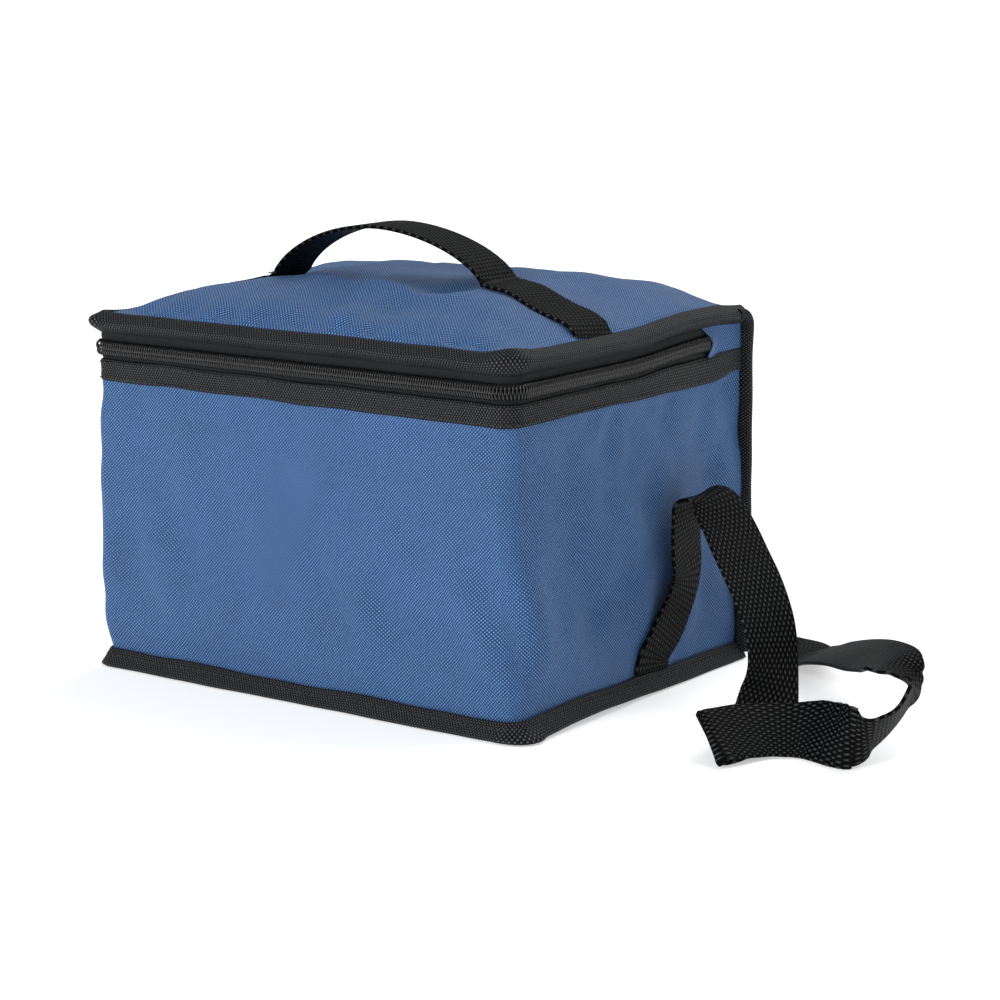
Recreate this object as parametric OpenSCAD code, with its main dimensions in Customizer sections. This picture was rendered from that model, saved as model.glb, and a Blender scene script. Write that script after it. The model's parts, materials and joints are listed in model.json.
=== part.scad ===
// Small insulated cooler bag. Millimetres, +Z up. Origin on the floor under the
// middle of the walls, long front side facing -Y, strap side at +X, lid hinged
// along the top of the back (+Y).

/* [Body] */
// outside length between the end walls
bag_length = 214; // [180:2:300]
// outside depth between front and back walls
bag_depth = 170; // [140:2:240]
// height of the walls, up to the zip
wall_height = 134; // [100:1:220]
// radius of the upright front corners
corner_radius = 10; // [6:1:14]
// thickness of the outer cloth
cloth = 0.9; // [0.5:0.1:1.5]
// thickness of the foam sheets
foam = 4; // [3:0.5:6]
// thickness of the foil lining
lining = 0.4; // [0.3:0.1:0.8]

/* [Lid] */
// height of the hinge seam above the floor
seam_height = 145.3; // [110:0.1:235]
// height of the lid cloth where it enters the rim binding
rim_height = 153; // [118:0.5:245]
// how far the padded lid swells above its rim
crown = 18; // [10:1:30]
// how far the crest of the lid sits in front of the middle
crest_shift = 6; // [0:1:30]

/* [Bindings] */
// how far the lid rim sticks out of the wall
rim_out = 4.2; // [3:0.2:6]
// how far the base binding sticks out of the wall
base_out = 5.6; // [4:0.2:8]
// height of the base binding
base_band = 7.4; // [6:0.2:10]
// height of the band under the zip
zip_band = 9; // [7:0.5:12]

/* [Zip] */
// thickness of one row of coil
coil_size = 2.2; // [2:0.1:2.6]
// gap between the two rows, where the slider's post runs
coil_gap = 1.2; // [1.1:0.1:1.4]
// how far forward of the back wall the zip ends
zip_end_gap = 27.6; // [20:0.2:40]

/* [Webbing] */
// width of handle and strap webbing
web_width = 25; // [20:1:30]
// thickness of the webbing
web_thick = 1.6; // [1.2:0.1:2.4]
// left foot of the handle, from the middle
handle_left = -60; // [-80:1:-40]
// right foot of the handle, from the middle
handle_right = 51; // [40:1:80]
// top of the handle above the floor
handle_top = 191.5; // [185:1:230]
// how far in front of the middle the handle is sewn
handle_shift = 16; // [0:1:30]

/* [Hidden] */
$fn = 32;

hx = bag_length / 2;
hy = bag_depth / 2;
R = corner_radius;
zip_y = hy - zip_end_gap;                     // where both coils end
z_low = wall_height + 2.4 + coil_size;        // top of the lower coil
z_up = z_low + coil_gap;                      // bottom of the upper coil
z_mid = (z_low + z_up) / 2;
floor_in = 1 + foam + 0.1;                    // top of the base foam

// --- a profile carried round the front and both ends: x = outward, y = height
module around(y_end, r = R) {
  side = y_end + hy - r;
  for (s = [-1, 1]) {
    translate([s * (hx - r), -(hy - r), 0])
      rotate([0, 0, s > 0 ? -90 : 180])
        rotate_extrude(angle = 90) translate([r, 0]) children();
  }
  translate([hx - r, -hy, 0]) rotate([90, 0, -90])
    linear_extrude(2 * (hx - r)) children();
  translate([hx, -(hy - r), 0]) rotate([90, 0, 0]) mirror([0, 0, 1])
    linear_extrude(side) children();
  translate([-hx, -(hy - r), 0]) rotate([90, 0, 0]) mirror([0, 0, 1])
    linear_extrude(side) mirror([1, 0]) children();
}
module rect(x0, x1, z0, z1) translate([x0, z0]) square([x1 - x0, z1 - z0]);

// --- lid surface
lid_a = hx - 1;
lid_f = hy - 1;
lid_b = hy - 4;
function ty(y) = y < -crest_shift ? (y + crest_shift) / (lid_f - crest_shift)
                                  : (y + crest_shift) / (lid_b + crest_shift);
function lid_z(x, y) = rim_height + crown
  * pow(max(0, 1 - pow(min(1, abs(x) / lid_a), 3.6)), 0.65)
  * pow(max(0, 1 - pow(min(1, abs(ty(y))), 3.6)), 0.65);

// plan of the lid: the front corners of its grid are drawn in to a round corner
lid_r = R - 0.8;
function plan(x, y) = let (dx = abs(x) - lid_a + lid_r, dy = -y - lid_f + lid_r,
    k = dx > 0 && dy > 0 ? max(dx, dy) / sqrt(dx * dx + dy * dy) : 1)
  k == 1 ? [x, y] : [sign(x) * (lid_a - lid_r + dx * k), -(lid_f - lid_r + dy * k)];

// closed sheet between two height functions over a grid of columns and rows
module sheet(P, Q) {          // P, Q: rows of points, top and underside
  n = len(P); m = len(P[0]);
  pts = concat([for (r = P) for (p = r) p], [for (r = Q) for (p = r) p]);
  o = n * m;
  function id(i, j) = i * m + j;
  top = [for (i = [0 : n - 2]) for (j = [0 : m - 2]) each
    [[id(i, j), id(i + 1, j), id(i + 1, j + 1)], [id(i, j), id(i + 1, j + 1), id(i, j + 1)]]];
  bot = [for (f = top) [f[2] + o, f[1] + o, f[0] + o]];
  rim = concat([for (i = [0 : n - 2]) [id(i, 0), id(i + 1, 0)]],
    [for (j = [0 : m - 2]) [id(n - 1, j), id(n - 1, j + 1)]],
    [for (i = [n - 1 : -1 : 1]) [id(i, m - 1), id(i - 1, m - 1)]],
    [for (j = [m - 1 : -1 : 1]) [id(0, j), id(0, j - 1)]]);
  wall = [for (e = rim) each [[e[0], e[0] + o, e[1] + o], [e[0], e[1] + o, e[1]]]];
  polyhedron(concat(pts), concat(top, bot, wall));
}
function spread(n, lo, hi) = [for (i = [0 : n]) let (u = i / n * 2 - 1)
  (lo + hi) / 2 + (hi - lo) / 2 * sin(90 * u)];
lid_x = spread(20, -lid_a, lid_a);
lid_y = spread(16, -lid_f, lid_b);
// one row of the lid's grid, d below the cloth's outer face
function lid_row(X, y, d) = [for (x = X) let (p = plan(x, y)) [p[0], p[1], lid_z(x, y) - d]];
// layer under the lid cloth, one grid cell in from its edge; dt, db: depths of
// its top and underside below the cloth's outer face
module lid_layer(dt, db) {
  X = [for (i = [1 : len(lid_x) - 2]) lid_x[i]];
  Y = [for (i = [1 : len(lid_y) - 2]) lid_y[i]];
  sheet([for (y = Y) lid_row(X, y, dt)], [for (y = Y) lid_row(X, y, db)]);
}

// --- handle curve
hc = (handle_left + handle_right) / 2;
hw = (handle_right - handle_left) / 2;
foot_l = lid_z(handle_left, -handle_shift) + 0.6;
foot_r = lid_z(handle_right, -handle_shift) + 0.6;
function foot_z(x) = foot_l + (foot_r - foot_l) * (x - handle_left) / (2 * hw);
function arch_z(x) = foot_z(x) + (handle_top - foot_z(x))
  * pow(max(0, 1 - pow(min(1, abs((x - hc) / hw)), 2.6)), 0.65);
function arch_pt(x, off) = let (d = 0.4,
    x0 = max(x - d, handle_left), x1 = min(x + d, handle_right),
    sx = x1 - x0, sz = arch_z(x1) - arch_z(x0), l = sqrt(sx * sx + sz * sz))
  [x - off * sz / l, arch_z(x) + off * sx / l];
module arch(x0, x1, n = 36) {
  xs = [for (i = [0 : n]) x0 + (x1 - x0) * i / n];
  translate([0, -handle_shift, 0]) rotate([90, 0, 0])
    linear_extrude(web_width, center = true)
      polygon(concat([for (x = xs) arch_pt(x, 0)],
        [for (i = [n : -1 : 0]) arch_pt(xs[i], -web_thick)]));
}
loop_share = 0.895; // share of the half span that moves
foot_share = 0.926; // from here outward the webbing stays with the lid
// webbing lying on the lid, from the foot of the handle to the rim
module tail(foot, end, skew) {
  n = 14;
  lie = 0.3;
  out = [for (i = [0 : n]) foot + (end - foot) * sin(90 * i / n)];
  X = end > foot ? out : [for (i = [n : -1 : 0]) out[i]];
  V = [-1, -0.33, 0.33, 1];
  function yy(x, v) = -handle_shift + skew * (x - foot) / (end - foot) + v * web_width / 2;
  T = [for (v = V) [for (x = X) [x, yy(x, v), lid_z(x, yy(x, v)) + lie + web_thick]]];
  B = [for (v = V) [for (x = X) [x, yy(x, v), lid_z(x, yy(x, v)) + lie]]];
  sheet(T, B);
}

// --- shoulder strap: centre points with, for each, the direction its width
// points to. A point given with height 0 lies as low as the floor allows.
S = [
    [108.4, 14, 8.2, 0, 1, 0], [109, 15, 15, 0, 1, 0], [111.5, 21, 25, 0, 1, -0.1],
    [113, 28, 36, -0.08, 1, -0.08], [114, 32, 48, -0.1, 1, -0.05], [115.5, 28.7, 64, -0.1, 1, 0],
    [117.5, 27.4, 75.5, 0, 1, 0.05], [120, 27, 82, 0.15, 0.98, 0.12],
    [127.5, 28.5, 82.5, 0.33, 0.94, 0.08], [137, 26, 73.5, 0.5, 0.86, 0.03],
    [148, 19.5, 63, 0.49, 0.87, 0.08], [158, 14, 53, 0.46, 0.88, 0.1],
    [167, 9, 41, 0.42, 0.9, 0.03], [171.5, 6, 30, 0.4, 0.91, -0.08],
    [173, 4, 20, 0.42, 0.9, -0.08], [174, 0, 11, 0.6, 0.78, 0.05], [176, -8, 3.5, 0.8, 0.6, 0],
    [182, -20, 1.5, 0.97, 0.25, 0], [186.5, -32, 2, 1, 0, -0.1], [185, -41, 5, 0.85, -0.25, -0.35],
    [186, -53.3, 8.2, 0.68, -0.46, -0.57], [184.3, -60, 8.2, 0.68, -0.46, -0.57],
    [184, -62.7, 9.7, 0.68, -0.46, -0.57], [186, -61.4, 11, 0.68, -0.46, -0.57],
    [188, -54.5, 10.6, 0.64, -0.49, -0.59], [193, -41, 9.6, 0.5, -0.6, -0.64],
    [201.4, -33, 9, 0.44, -0.63, -0.66], [210, -31.4, 8.9, 0.42, -0.62, -0.66],
    [219, -34, 9.2, 0.38, -0.62, -0.66], [225, -37, 9.9, 0.28, -0.55, -0.75],
    [231.5, -39.2, 11.8, 0, -0.1, -0.95], [238.3, -36, 13, -0.4, 0.44, -0.76],
    [242, -30.5, 16, -0.3, 0.82, -0.5], [245, -25.5, 20, -0.37, 0.86, -0.37],
    [246.5, -21, 25, -0.37, 0.88, -0.3], [246.5, -17, 29.5, -0.33, 0.92, -0.2],
    [243, -15.5, 33.2, -0.25, 0.95, -0.05], [236.4, -12.4, 35, -0.1, 0.95, 0.03],
    [227.5, -1, 34.4, 0.25, 0.88, 0.2], [208, 20, 29, 0.35, 0.8, 0.32],
    [188, 41, 23, 0.45, 0.78, 0.3], [166, 63, 15, 0.52, 0.75, 0.28], [145, 84, 6, 0.5, 0.82, 0.25],
    [120, 105, 0, 0.3, 0.95, 0.1], [85, 110, 0, 0, 1, 0.1], [55, 113, 0, 0, 1, 0.12],
    [25, 119, 0, 0, 1, 0.14], [-5, 116, 0, 0, 1, 0.16], [-35, 110, 0, 0, 1, 0.2],
    [-65, 112, 0, 0, 1, 0.2], [-95, 116, 0, -0.1, 1, 0.25], [-122, 112, 0, -0.3, 0.9, 0.35],
    [-143, 99, 0, -0.4, 0.5, 0.75], [-155, 80, 0, -0.1, 0.1, 1], [-159, 62, 0, -0.5, 0, 0.85],
    [-158, 46, 0, -0.9, 0, 0.4], [-156, 33, 1.2, -1, 0, 0], [-154, 25, 7, -1, 0.05, 0],
    [-152, 21.5, 18, -0.9, 0.4, 0], [-149, 20, 30, -0.6, 0.8, 0], [-145, 19, 44, -0.3, 0.95, 0],
    [-140, 17, 60, 0, 1, 0], [-134, 15, 73, 0, 1, 0], [-127, 14, 79, 0, 1, 0],
    [-120, 14, 75, 0, 1, 0], [-115.5, 14, 62, 0, 1, 0], [-112, 14, 44, 0, 1, 0],
    [-109.8, 14, 25, 0, 1, 0], [-108.4, 14, 8.2, 0, 1, 0]
];
function cr(a, b, c, d, t) = 0.5 * ((2 * b) + (c - a) * t
  + (2 * a - 5 * b + 4 * c - d) * t * t + (3 * b - a - 3 * c + d) * t * t * t);
function at(u) = let (n = len(S) - 1, i = min(n - 1, floor(u)), t = u - i,
    a = S[max(0, i - 1)], b = S[i], c = S[i + 1], d = S[min(n, i + 2)])
  [for (k = [0 : 5]) cr(a[k], b[k], c[k], d[k], t)];
function unit(v) = v / norm(v);
function ring(u) = let (n = len(S) - 1, p = at(u),
    a = at(max(0, u - 0.05)), b = at(min(n, u + 0.05)),
    T = unit([b[0] - a[0], b[1] - a[1], b[2] - a[2]]),
    w0 = [p[3], p[4], p[5]], W = unit(w0 - (w0 * T) * T), N = cross(T, W),
    w = web_width / 2, h = web_thick / 2,
    c = [p[0], p[1], max(p[2], w * abs(W[2]) + h * abs(N[2]) + 0.3)])
  [c + w * W + h * N, c - w * W + h * N, c - w * W - h * N, c + w * W - h * N];

// --- pieces
module outer_wrap() color("#41699f") around(hy - cloth) rect(-cloth, 0, 1, wall_height);
module back_panel() color("#41699f")
  translate([-hx + 0.1, hy - cloth + 0.05, 1]) cube([2 * hx - 0.2, cloth - 0.05, seam_height - 1.4]);
module base_panel() color("#3a5f92")
  linear_extrude(0.9) difference() {
    translate([-hx, -hy]) square([2 * hx, 2 * hy]);
    for (s = [-1, 1]) translate([s * (hx - R), -(hy - R)]) difference() {
      translate([s > 0 ? 0 : -R - 1, -R - 1]) square([R + 1, R + 1]);
      circle(R);
    }
  }
module foam_end(s) color("#d9dde0")
  translate([s > 0 ? hx - cloth - 0.1 - foam : -hx + cloth + 0.1, -(hy - R), floor_in + 0.1])
    cube([foam, 2 * hy - R - foam - 1.2, wall_height - floor_in - 0.8]);
module left_foam() foam_end(-1);
module right_foam() foam_end(1);
module front_foam() color("#d9dde0")
  translate([-(hx - R), -hy + cloth + 0.1, floor_in + 0.1])
    cube([2 * (hx - R), foam, wall_height - floor_in - 0.8]);
module back_foam() color("#d9dde0")
  translate([-hx + 1, hy - cloth - 0.1 - foam, floor_in + 0.1])
    cube([2 * hx - 2, foam, seam_height - floor_in - 5]);
module base_foam() color("#d9dde0")
  translate([-(hx - 1.2), -(hy - 1.2), 1])
    linear_extrude(foam) difference() {
      square([2 * (hx - 1.2), 2 * (hy - 1.2)]);
      for (s = [0, 2 * (hx - 1.2) - 6]) translate([s, 0]) square([6, 6]);
    }
lo = cloth + 0.2 + foam;     // wall face that the lining lies on
module wall_lining() color("#c9ccd0") union() {
  around(hy - lo - lining - 0.1) rect(-lo - lining, -lo, floor_in + lining + 0.2, wall_height - 0.3);
  around(hy - lo - lining - 0.1) rect(-lo, -cloth - 0.1, wall_height - 0.3 - lining, wall_height - 0.3);
}
module back_lining() color("#c9ccd0") {
  translate([-(hx - lo), hy - lo - lining, floor_in + lining + 0.2])
    cube([2 * (hx - lo), lining, seam_height - floor_in - lining - 4.6]);
}
module base_lining() color("#c9ccd0")
  translate([-(hx - lo), -(hy - lo), floor_in + 0.1]) linear_extrude(lining)
    difference() {
      square([2 * (hx - lo), 2 * (hy - lo)]);
      for (s = [0, 2 * (hx - lo) - 3]) translate([s, 0]) square([3, 3]);
    }
module base_profile() polygon([[0.1, 0], [base_out - 0.6, 0], [base_out, 0.6],
  [base_out, 1.6], [1.3, base_band], [0.1, base_band]]);
module base_binding() color("#1d1e20") union() {
  around(hy - R) base_profile();
  mirror([0, 1, 0]) around(-(hy - R) + 0.01, 0.2) base_profile();
}
module back_binding(s) color("#1d1e20")
  translate([0, 0, base_band + 0.1]) linear_extrude(seam_height - base_band - 0.8)
    mirror([s > 0 ? 0 : 1, 0])
      polygon([[hx + 0.15, hy - 1.4], [hx + 3.6, hy - 0.4], [hx + 4.4, hy + 1.2],
        [hx + 3.8, hy + 3], [hx + 2, hy + 3.6], [hx - 1, hy + 1.4],
        [hx - 1, hy + 0.1], [hx + 0.15, hy + 0.1]]);
module left_back_binding() back_binding(-1);
module right_back_binding() back_binding(1);
module hinge_binding() color("#1d1e20")
  translate([-(hx - 1.3), hy + 0.05, 0]) rotate([90, 0, 90]) linear_extrude(2 * (hx - 1.3))
    polygon([[0, seam_height - 8], [2.6, seam_height - 7], [3.8, seam_height - 5],
      [3.2, seam_height - 2.4], [1, seam_height - 0.6], [0, seam_height - 0.6]]);
module zip_band_binding() color("#1d1e20")
  around(hy - 1.7) rect(0.05, 1.2, wall_height - zip_band, wall_height + 0.2);
module lower_zip_tape() color("#232427")
  around(zip_y) rect(-0.8, -0.1, wall_height + 0.3, z_low);
module lower_zip_coil() color("#141415")
  around(zip_y - 0.6) translate([1.2, z_low - coil_size / 2]) circle(d = coil_size, $fn = 16);
module end_tab(s) color("#2f568c")
  translate([s > 0 ? hx - cloth : -hx, zip_y + 0.5, wall_height + 0.4])
    cube([cloth, zip_end_gap - 1.8, seam_height - wall_height - 0.8]);
module left_zip_end_tab() end_tab(-1);
module right_zip_end_tab() end_tab(1);
module shoulder_strap() color("#1b1c1e") {
  n = 78; L = len(S) - 1;
  rr = [for (i = [0 : n]) ring(i * L / n)];
  pts = [for (r = rr) for (p = r) p];
  side = [for (i = [0 : n - 1]) for (k = [0 : 3]) let (a = 4 * i + k, b = 4 * i + (k + 1) % 4)
    each [[a, a + 4, b + 4], [a, b + 4, b]]];
  polyhedron(pts, concat([[0, 1, 2], [0, 2, 3]], side,
    [[4 * n + 2, 4 * n + 1, 4 * n], [4 * n + 3, 4 * n + 2, 4 * n]]));
}
module lid_panel() color("#41699f") {
  T = concat([for (y = lid_y) lid_row(lid_x, y, 0)],
             [[for (x = lid_x) [x, hy - 0.9, seam_height + 1.6]]]);
  B = concat([for (y = lid_y) lid_row(lid_x, y, cloth)],
             [[for (x = lid_x) [x, hy - 1.6, seam_height + 0.5]]]);
  sheet(T, B);
}
module lid_foam() color("#d9dde0")
  lid_layer(cloth + 0.1, cloth + 0.1 + foam);
module lid_lining() color("#c9ccd0")
  lid_layer(cloth + 0.2 + foam, cloth + 0.2 + foam + lining);
module lid_cut() translate([-hx - 20, 0, 0]) rotate([90, 0, 90]) linear_extrude(2 * hx + 40)
  polygon([[hy - 0.5, seam_height - 1], [hy - 0.5, seam_height + 0.2],
    [hy - 8, seam_height + 15], [hy + 20, seam_height + 15], [hy + 20, seam_height - 1]]);
module lid_binding() color("#1d1e20") difference() {
  around(hy - 0.6) polygon([[-0.8, seam_height + 0.4], [0.8, seam_height + 0.4],
    [rim_out - 0.2, rim_height - 3.8], [rim_out, rim_height - 2.6],
    [rim_out - 0.6, rim_height - 1.6], [0.2, rim_height + 0.8], [-0.8, rim_height + 0.8]]);
  lid_cut();
}
module upper_zip_tape() color("#232427")
  around(zip_y) rect(-0.8, -0.1, z_up, seam_height + 0.3);
module upper_zip_coil() color("#141415")
  around(zip_y - 0.6) translate([1.2, z_up + coil_size / 2]) circle(d = coil_size, $fn = 16);
module handle_left_tail() color("#1b1c1e") union() {
  tail(handle_left + 3, -lid_a + 1.4, 0);
  arch(handle_left, hc - hw * foot_share, 8);
}
module handle_right_tail() color("#1b1c1e") union() {
  tail(handle_right - 3, lid_a - 1.4, -10);
  arch(hc + hw * foot_share, handle_right, 8);
}
module handle_loop() color("#1b1c1e") arch(hc - hw * loop_share, hc + hw * loop_share);

sl_y = zip_y - 7;       // middle of the slider when the bag is shut
module zip_slider() color("#18181a") translate([-hx, sl_y, z_mid]) mirror([1, 0, 0]) union() {
  translate([2.65, -6.2, -4.4]) cube([1, 12.4, 8.8]);
  translate([-1.9, -6.2, -3.8]) cube([0.75, 12.4, 7.6]);
  translate([-1.9, 3.2, -0.25]) cube([4.8, 2.8, 0.5]);
  for (y = [-4.4, 3.4]) translate([3.6, y, -0.7]) cube([2, 1, 1.4]);
  translate([5.6, -4.4, 0]) rotate([-90, 0, 0]) cylinder(r = 0.6, h = 8.8, $fn = 16);
}
module zip_pull() color("#18181a") translate([-hx, sl_y, z_mid]) mirror([1, 0, 0]) difference() {
  union() {
    translate([5.6, -3, 0]) rotate([-90, 0, 0]) cylinder(r = 1.6, h = 6, $fn = 24);
    translate([5.05, -3, -22]) cube([1.1, 6, 21]);
    translate([5.05, 0, -22]) rotate([0, 90, 0]) cylinder(r = 3, h = 1.1, $fn = 24);
  }
  translate([5.6, -4, 0]) rotate([-90, 0, 0]) cylinder(r = 0.95, h = 8, $fn = 24);
}

outer_wrap();
back_panel();
base_panel();
front_foam();
left_foam();
right_foam();
back_foam();
base_foam();
wall_lining();
back_lining();
base_lining();
base_binding();
left_back_binding();
right_back_binding();
hinge_binding();
zip_band_binding();
lower_zip_tape();
lower_zip_coil();
left_zip_end_tab();
right_zip_end_tab();
shoulder_strap();
lid_panel();
lid_foam();
lid_lining();
lid_binding();
upper_zip_tape();
upper_zip_coil();
handle_left_tail();
handle_right_tail();
handle_loop();
zip_slider();
zip_pull();
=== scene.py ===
"""Small insulated cooler bag: blue cloth over foam, black tape bindings, coil zip,
webbing handle and shoulder strap. Metres, in the CAD frame: +Z up, the long front
faces -Y, the lid is hinged along the top of the back (+Y)."""
import json
import math

import bpy
import numpy as np
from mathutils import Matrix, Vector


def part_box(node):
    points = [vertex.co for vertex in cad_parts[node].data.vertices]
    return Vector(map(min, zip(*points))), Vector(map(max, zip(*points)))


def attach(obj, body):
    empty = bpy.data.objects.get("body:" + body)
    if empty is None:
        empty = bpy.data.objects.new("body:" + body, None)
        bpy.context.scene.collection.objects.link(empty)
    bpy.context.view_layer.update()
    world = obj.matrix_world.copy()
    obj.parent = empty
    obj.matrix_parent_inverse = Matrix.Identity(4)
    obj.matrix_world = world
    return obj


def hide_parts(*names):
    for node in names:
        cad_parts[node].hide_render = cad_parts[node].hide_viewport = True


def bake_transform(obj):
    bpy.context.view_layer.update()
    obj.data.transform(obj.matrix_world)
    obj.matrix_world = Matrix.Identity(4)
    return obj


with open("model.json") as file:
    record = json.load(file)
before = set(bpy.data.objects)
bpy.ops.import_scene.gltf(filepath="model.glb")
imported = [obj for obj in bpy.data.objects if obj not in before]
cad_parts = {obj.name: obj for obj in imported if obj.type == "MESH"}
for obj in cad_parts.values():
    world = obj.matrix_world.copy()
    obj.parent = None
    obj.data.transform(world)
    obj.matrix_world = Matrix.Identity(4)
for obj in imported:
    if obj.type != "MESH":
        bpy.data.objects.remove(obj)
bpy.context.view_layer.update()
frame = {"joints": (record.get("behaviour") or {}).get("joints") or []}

scene = bpy.context.scene
MM = 0.001
PI = math.pi

# ------------------------------------------------------------------ sizes from the frame
wrap_lo, wrap_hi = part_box("outer_wrap")
HX, HY, WALL = wrap_hi.x, -wrap_lo.y, wrap_hi.z
SEAM = next(j for j in frame["joints"] if j["name"] == "lid_hinge")["pos_m"][2]
band_lo, band_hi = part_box("zip_band_binding")
rim_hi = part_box("lid_binding")[1]
RIM_OUT = rim_hi.x - HX
base_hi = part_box("base_binding")[1]
BASE_OUT, BASE_TOP = base_hi.x - HX, base_hi.z
coil_low_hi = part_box("lower_zip_coil")[1]
coil_up_lo, coil_up_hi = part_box("upper_zip_coil")
ZIP_MID = (coil_low_hi.z + coil_up_lo.z) / 2
ZIP_END = coil_up_hi.y                       # both coils end here, short of the back
lid_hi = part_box("lid_panel")[1]
RIM_Z = rim_hi.z - 0.8 * MM                  # where the lid cloth enters the rim
CROWN = lid_hi.z - RIM_Z
loop_lo, loop_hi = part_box("handle_loop")
HANDLE_TOP = loop_hi.z
WEB = loop_hi.y - loop_lo.y                  # width of the webbing
HANDLE_Y = (loop_lo.y + loop_hi.y) / 2
WEB_THICK = 1.6 * MM
TAPE_THICK, CLOTH_THICK, FOIL_THICK = 0.4 * MM, 0.7 * MM, 0.25 * MM
STITCH_STEP, THREAD_RADIUS = 3.1 * MM, 0.26 * MM
BEND1, BEND2 = 3 * MM, 8 * MM                # radii of the left and right front corners
LEG1, LEG2 = 2 * HY - BEND1, 2 * HY - BEND2  # straight stretches of the end walls
ARC1, ARC2 = PI * BEND1 / 2, PI * BEND2 / 2
LONG = 2 * HX - BEND1 - BEND2
TURN = LEG1 + ARC1 + LONG                    # where the right front corner starts
RING = TURN + ARC2 + LEG2                    # back left corner, round the front, to back right
S_LEFT = LEG1 + ARC1 / 2                     # middle of the left front corner
S_NEAR = TURN + ARC2 / 2                     # middle of the right front corner


# ------------------------------------------------------------------ small maths
def ease(x, a, b):
    t = np.clip((np.asarray(x, float) - a) / (b - a), 0, 1)
    return t * t * (3 - 2 * t)


def bell(x, centre, width):
    return np.exp(-(((np.asarray(x, float) - centre) / width) ** 2))


def grid(a, b):
    return np.meshgrid(a, b, indexing="ij")


def stacked(*parts):
    """Points from their separate coordinates."""
    return np.stack(np.broadcast_arrays(*parts), -1)


def distance(points):
    """How far along a line each of its points lies."""
    steps = np.linalg.norm(np.diff(points, axis=0), axis=1)
    return np.concatenate([[0], np.cumsum(steps)])


def spline(points, n):
    """n points spread evenly along a smooth curve through the given points."""
    p = np.asarray(points, float)
    q = np.vstack([2 * p[0] - p[1], p, 2 * p[-1] - p[-2]])
    fine = []
    for i in range(1, len(q) - 2):
        t = np.linspace(0, 1, 24, endpoint=False)[:, None]
        a, b, c, d = q[i - 1], q[i], q[i + 1], q[i + 2]
        fine.append(0.5 * (2 * b + (c - a) * t + (2 * a - 5 * b + 4 * c - d) * t ** 2
                           + (3 * b - a - 3 * c + d) * t ** 3))
    fine = np.vstack(fine + [p[-1:]])
    run = distance(fine)
    at = np.linspace(0, run[-1], n)
    return np.stack([np.interp(at, run, fine[:, k]) for k in range(p.shape[1])], -1)


class Ripple:
    """Smooth random waves in two dimensions, between about -1 and 1."""

    def __init__(self, seed, shortest, longest, count=14, lean=None):
        rng = np.random.default_rng(seed)
        wave = np.exp(rng.uniform(np.log(shortest), np.log(longest), count))
        turn = rng.uniform(0, PI, count) if lean is None else rng.normal(lean, 0.28, count)
        self.kx, self.ky = 2 * PI / wave * np.cos(turn), 2 * PI / wave * np.sin(turn)
        self.phase = rng.uniform(0, 2 * PI, count)
        self.size = np.sqrt(wave) / np.sqrt((wave).sum() / 2) / 1.6

    def __call__(self, u, v):
        u, v = np.broadcast_arrays(np.asarray(u, float), np.asarray(v, float))
        total = np.zeros(u.shape)
        for kx, ky, phase, size in zip(self.kx, self.ky, self.phase, self.size):
            total += size * np.sin(kx * u + ky * v + phase)
        return total


class Puckers:
    """Short dents that run in from a seam, as gathered cloth has."""

    def __init__(self, seed, start, end, step, depth, reach):
        rng = np.random.default_rng(seed)
        at, marks = start, []
        while at < end:
            marks.append((at, rng.uniform(0.24, 0.42) * step, depth * rng.uniform(0.35, 1),
                          reach * rng.uniform(0.5, 1.25), rng.uniform(-0.35, 0.35)))
            at += step * rng.uniform(0.6, 1.5)
        self.marks = marks

    def __call__(self, u, inward):
        """Offset at distance u along the seam and inward from it."""
        total = np.zeros(np.broadcast(u, inward).shape)
        for at, wide, deep, reach, lean in self.marks:
            grown = wide * (1 + 0.9 * inward / reach)
            fade = np.exp(-np.clip(inward, 0, None) / reach * 1.7) * ease(inward, -1 * MM, 5 * MM)
            total -= deep * fade * np.exp(-((u - at - lean * inward) / grown) ** 2)
        return total


# ------------------------------------------------------------------ camera, floor, light
def aim(obj, azimuth, elevation):
    obj.rotation_euler = (math.radians(90 - elevation), 0, math.radians(azimuth))


def make_camera():
    data = bpy.data.cameras.new("camera")
    data.lens, data.sensor_width = 105.77, 36
    data.clip_start, data.clip_end = 0.05, 50
    cam = bpy.data.objects.new("camera", data)
    scene.collection.objects.link(cam)
    cam.location = (0.7562, -0.9913, 0.3187)
    aim(cam, 35.84, 11.22)
    scene.camera = cam


def make_light():
    def sun(name, azimuth, elevation, softness, strength):
        data = bpy.data.lights.new(name, "SUN")
        data.angle, data.energy = math.radians(softness), strength
        lamp = bpy.data.objects.new(name, data)
        scene.collection.objects.link(lamp)
        aim(lamp, azimuth, elevation)

    sun("key", -15, 24, 24, 1.9)
    sun("top", 165, 52, 50, 1.6)
    sun("side", 80, 28, 40, 0.28)
    world = bpy.data.worlds.new("studio")
    scene.world = world
    world.use_nodes = True
    nodes, links = world.node_tree.nodes, world.node_tree.links
    seen = nodes.new("ShaderNodeLightPath")
    white, fill = nodes["Background"], nodes.new("ShaderNodeBackground")
    white.inputs["Color"].default_value = (1, 1, 1, 1)
    fill.inputs["Color"].default_value = (0.97, 0.985, 1, 1)
    fill.inputs["Strength"].default_value = 0.32
    mix = nodes.new("ShaderNodeMixShader")
    links.new(seen.outputs["Is Camera Ray"], mix.inputs["Fac"])
    links.new(fill.outputs[0], mix.inputs[1])
    links.new(white.outputs[0], mix.inputs[2])
    links.new(mix.outputs[0], nodes["World Output"].inputs["Surface"])
    scene.view_settings.view_transform = "Standard"


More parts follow.
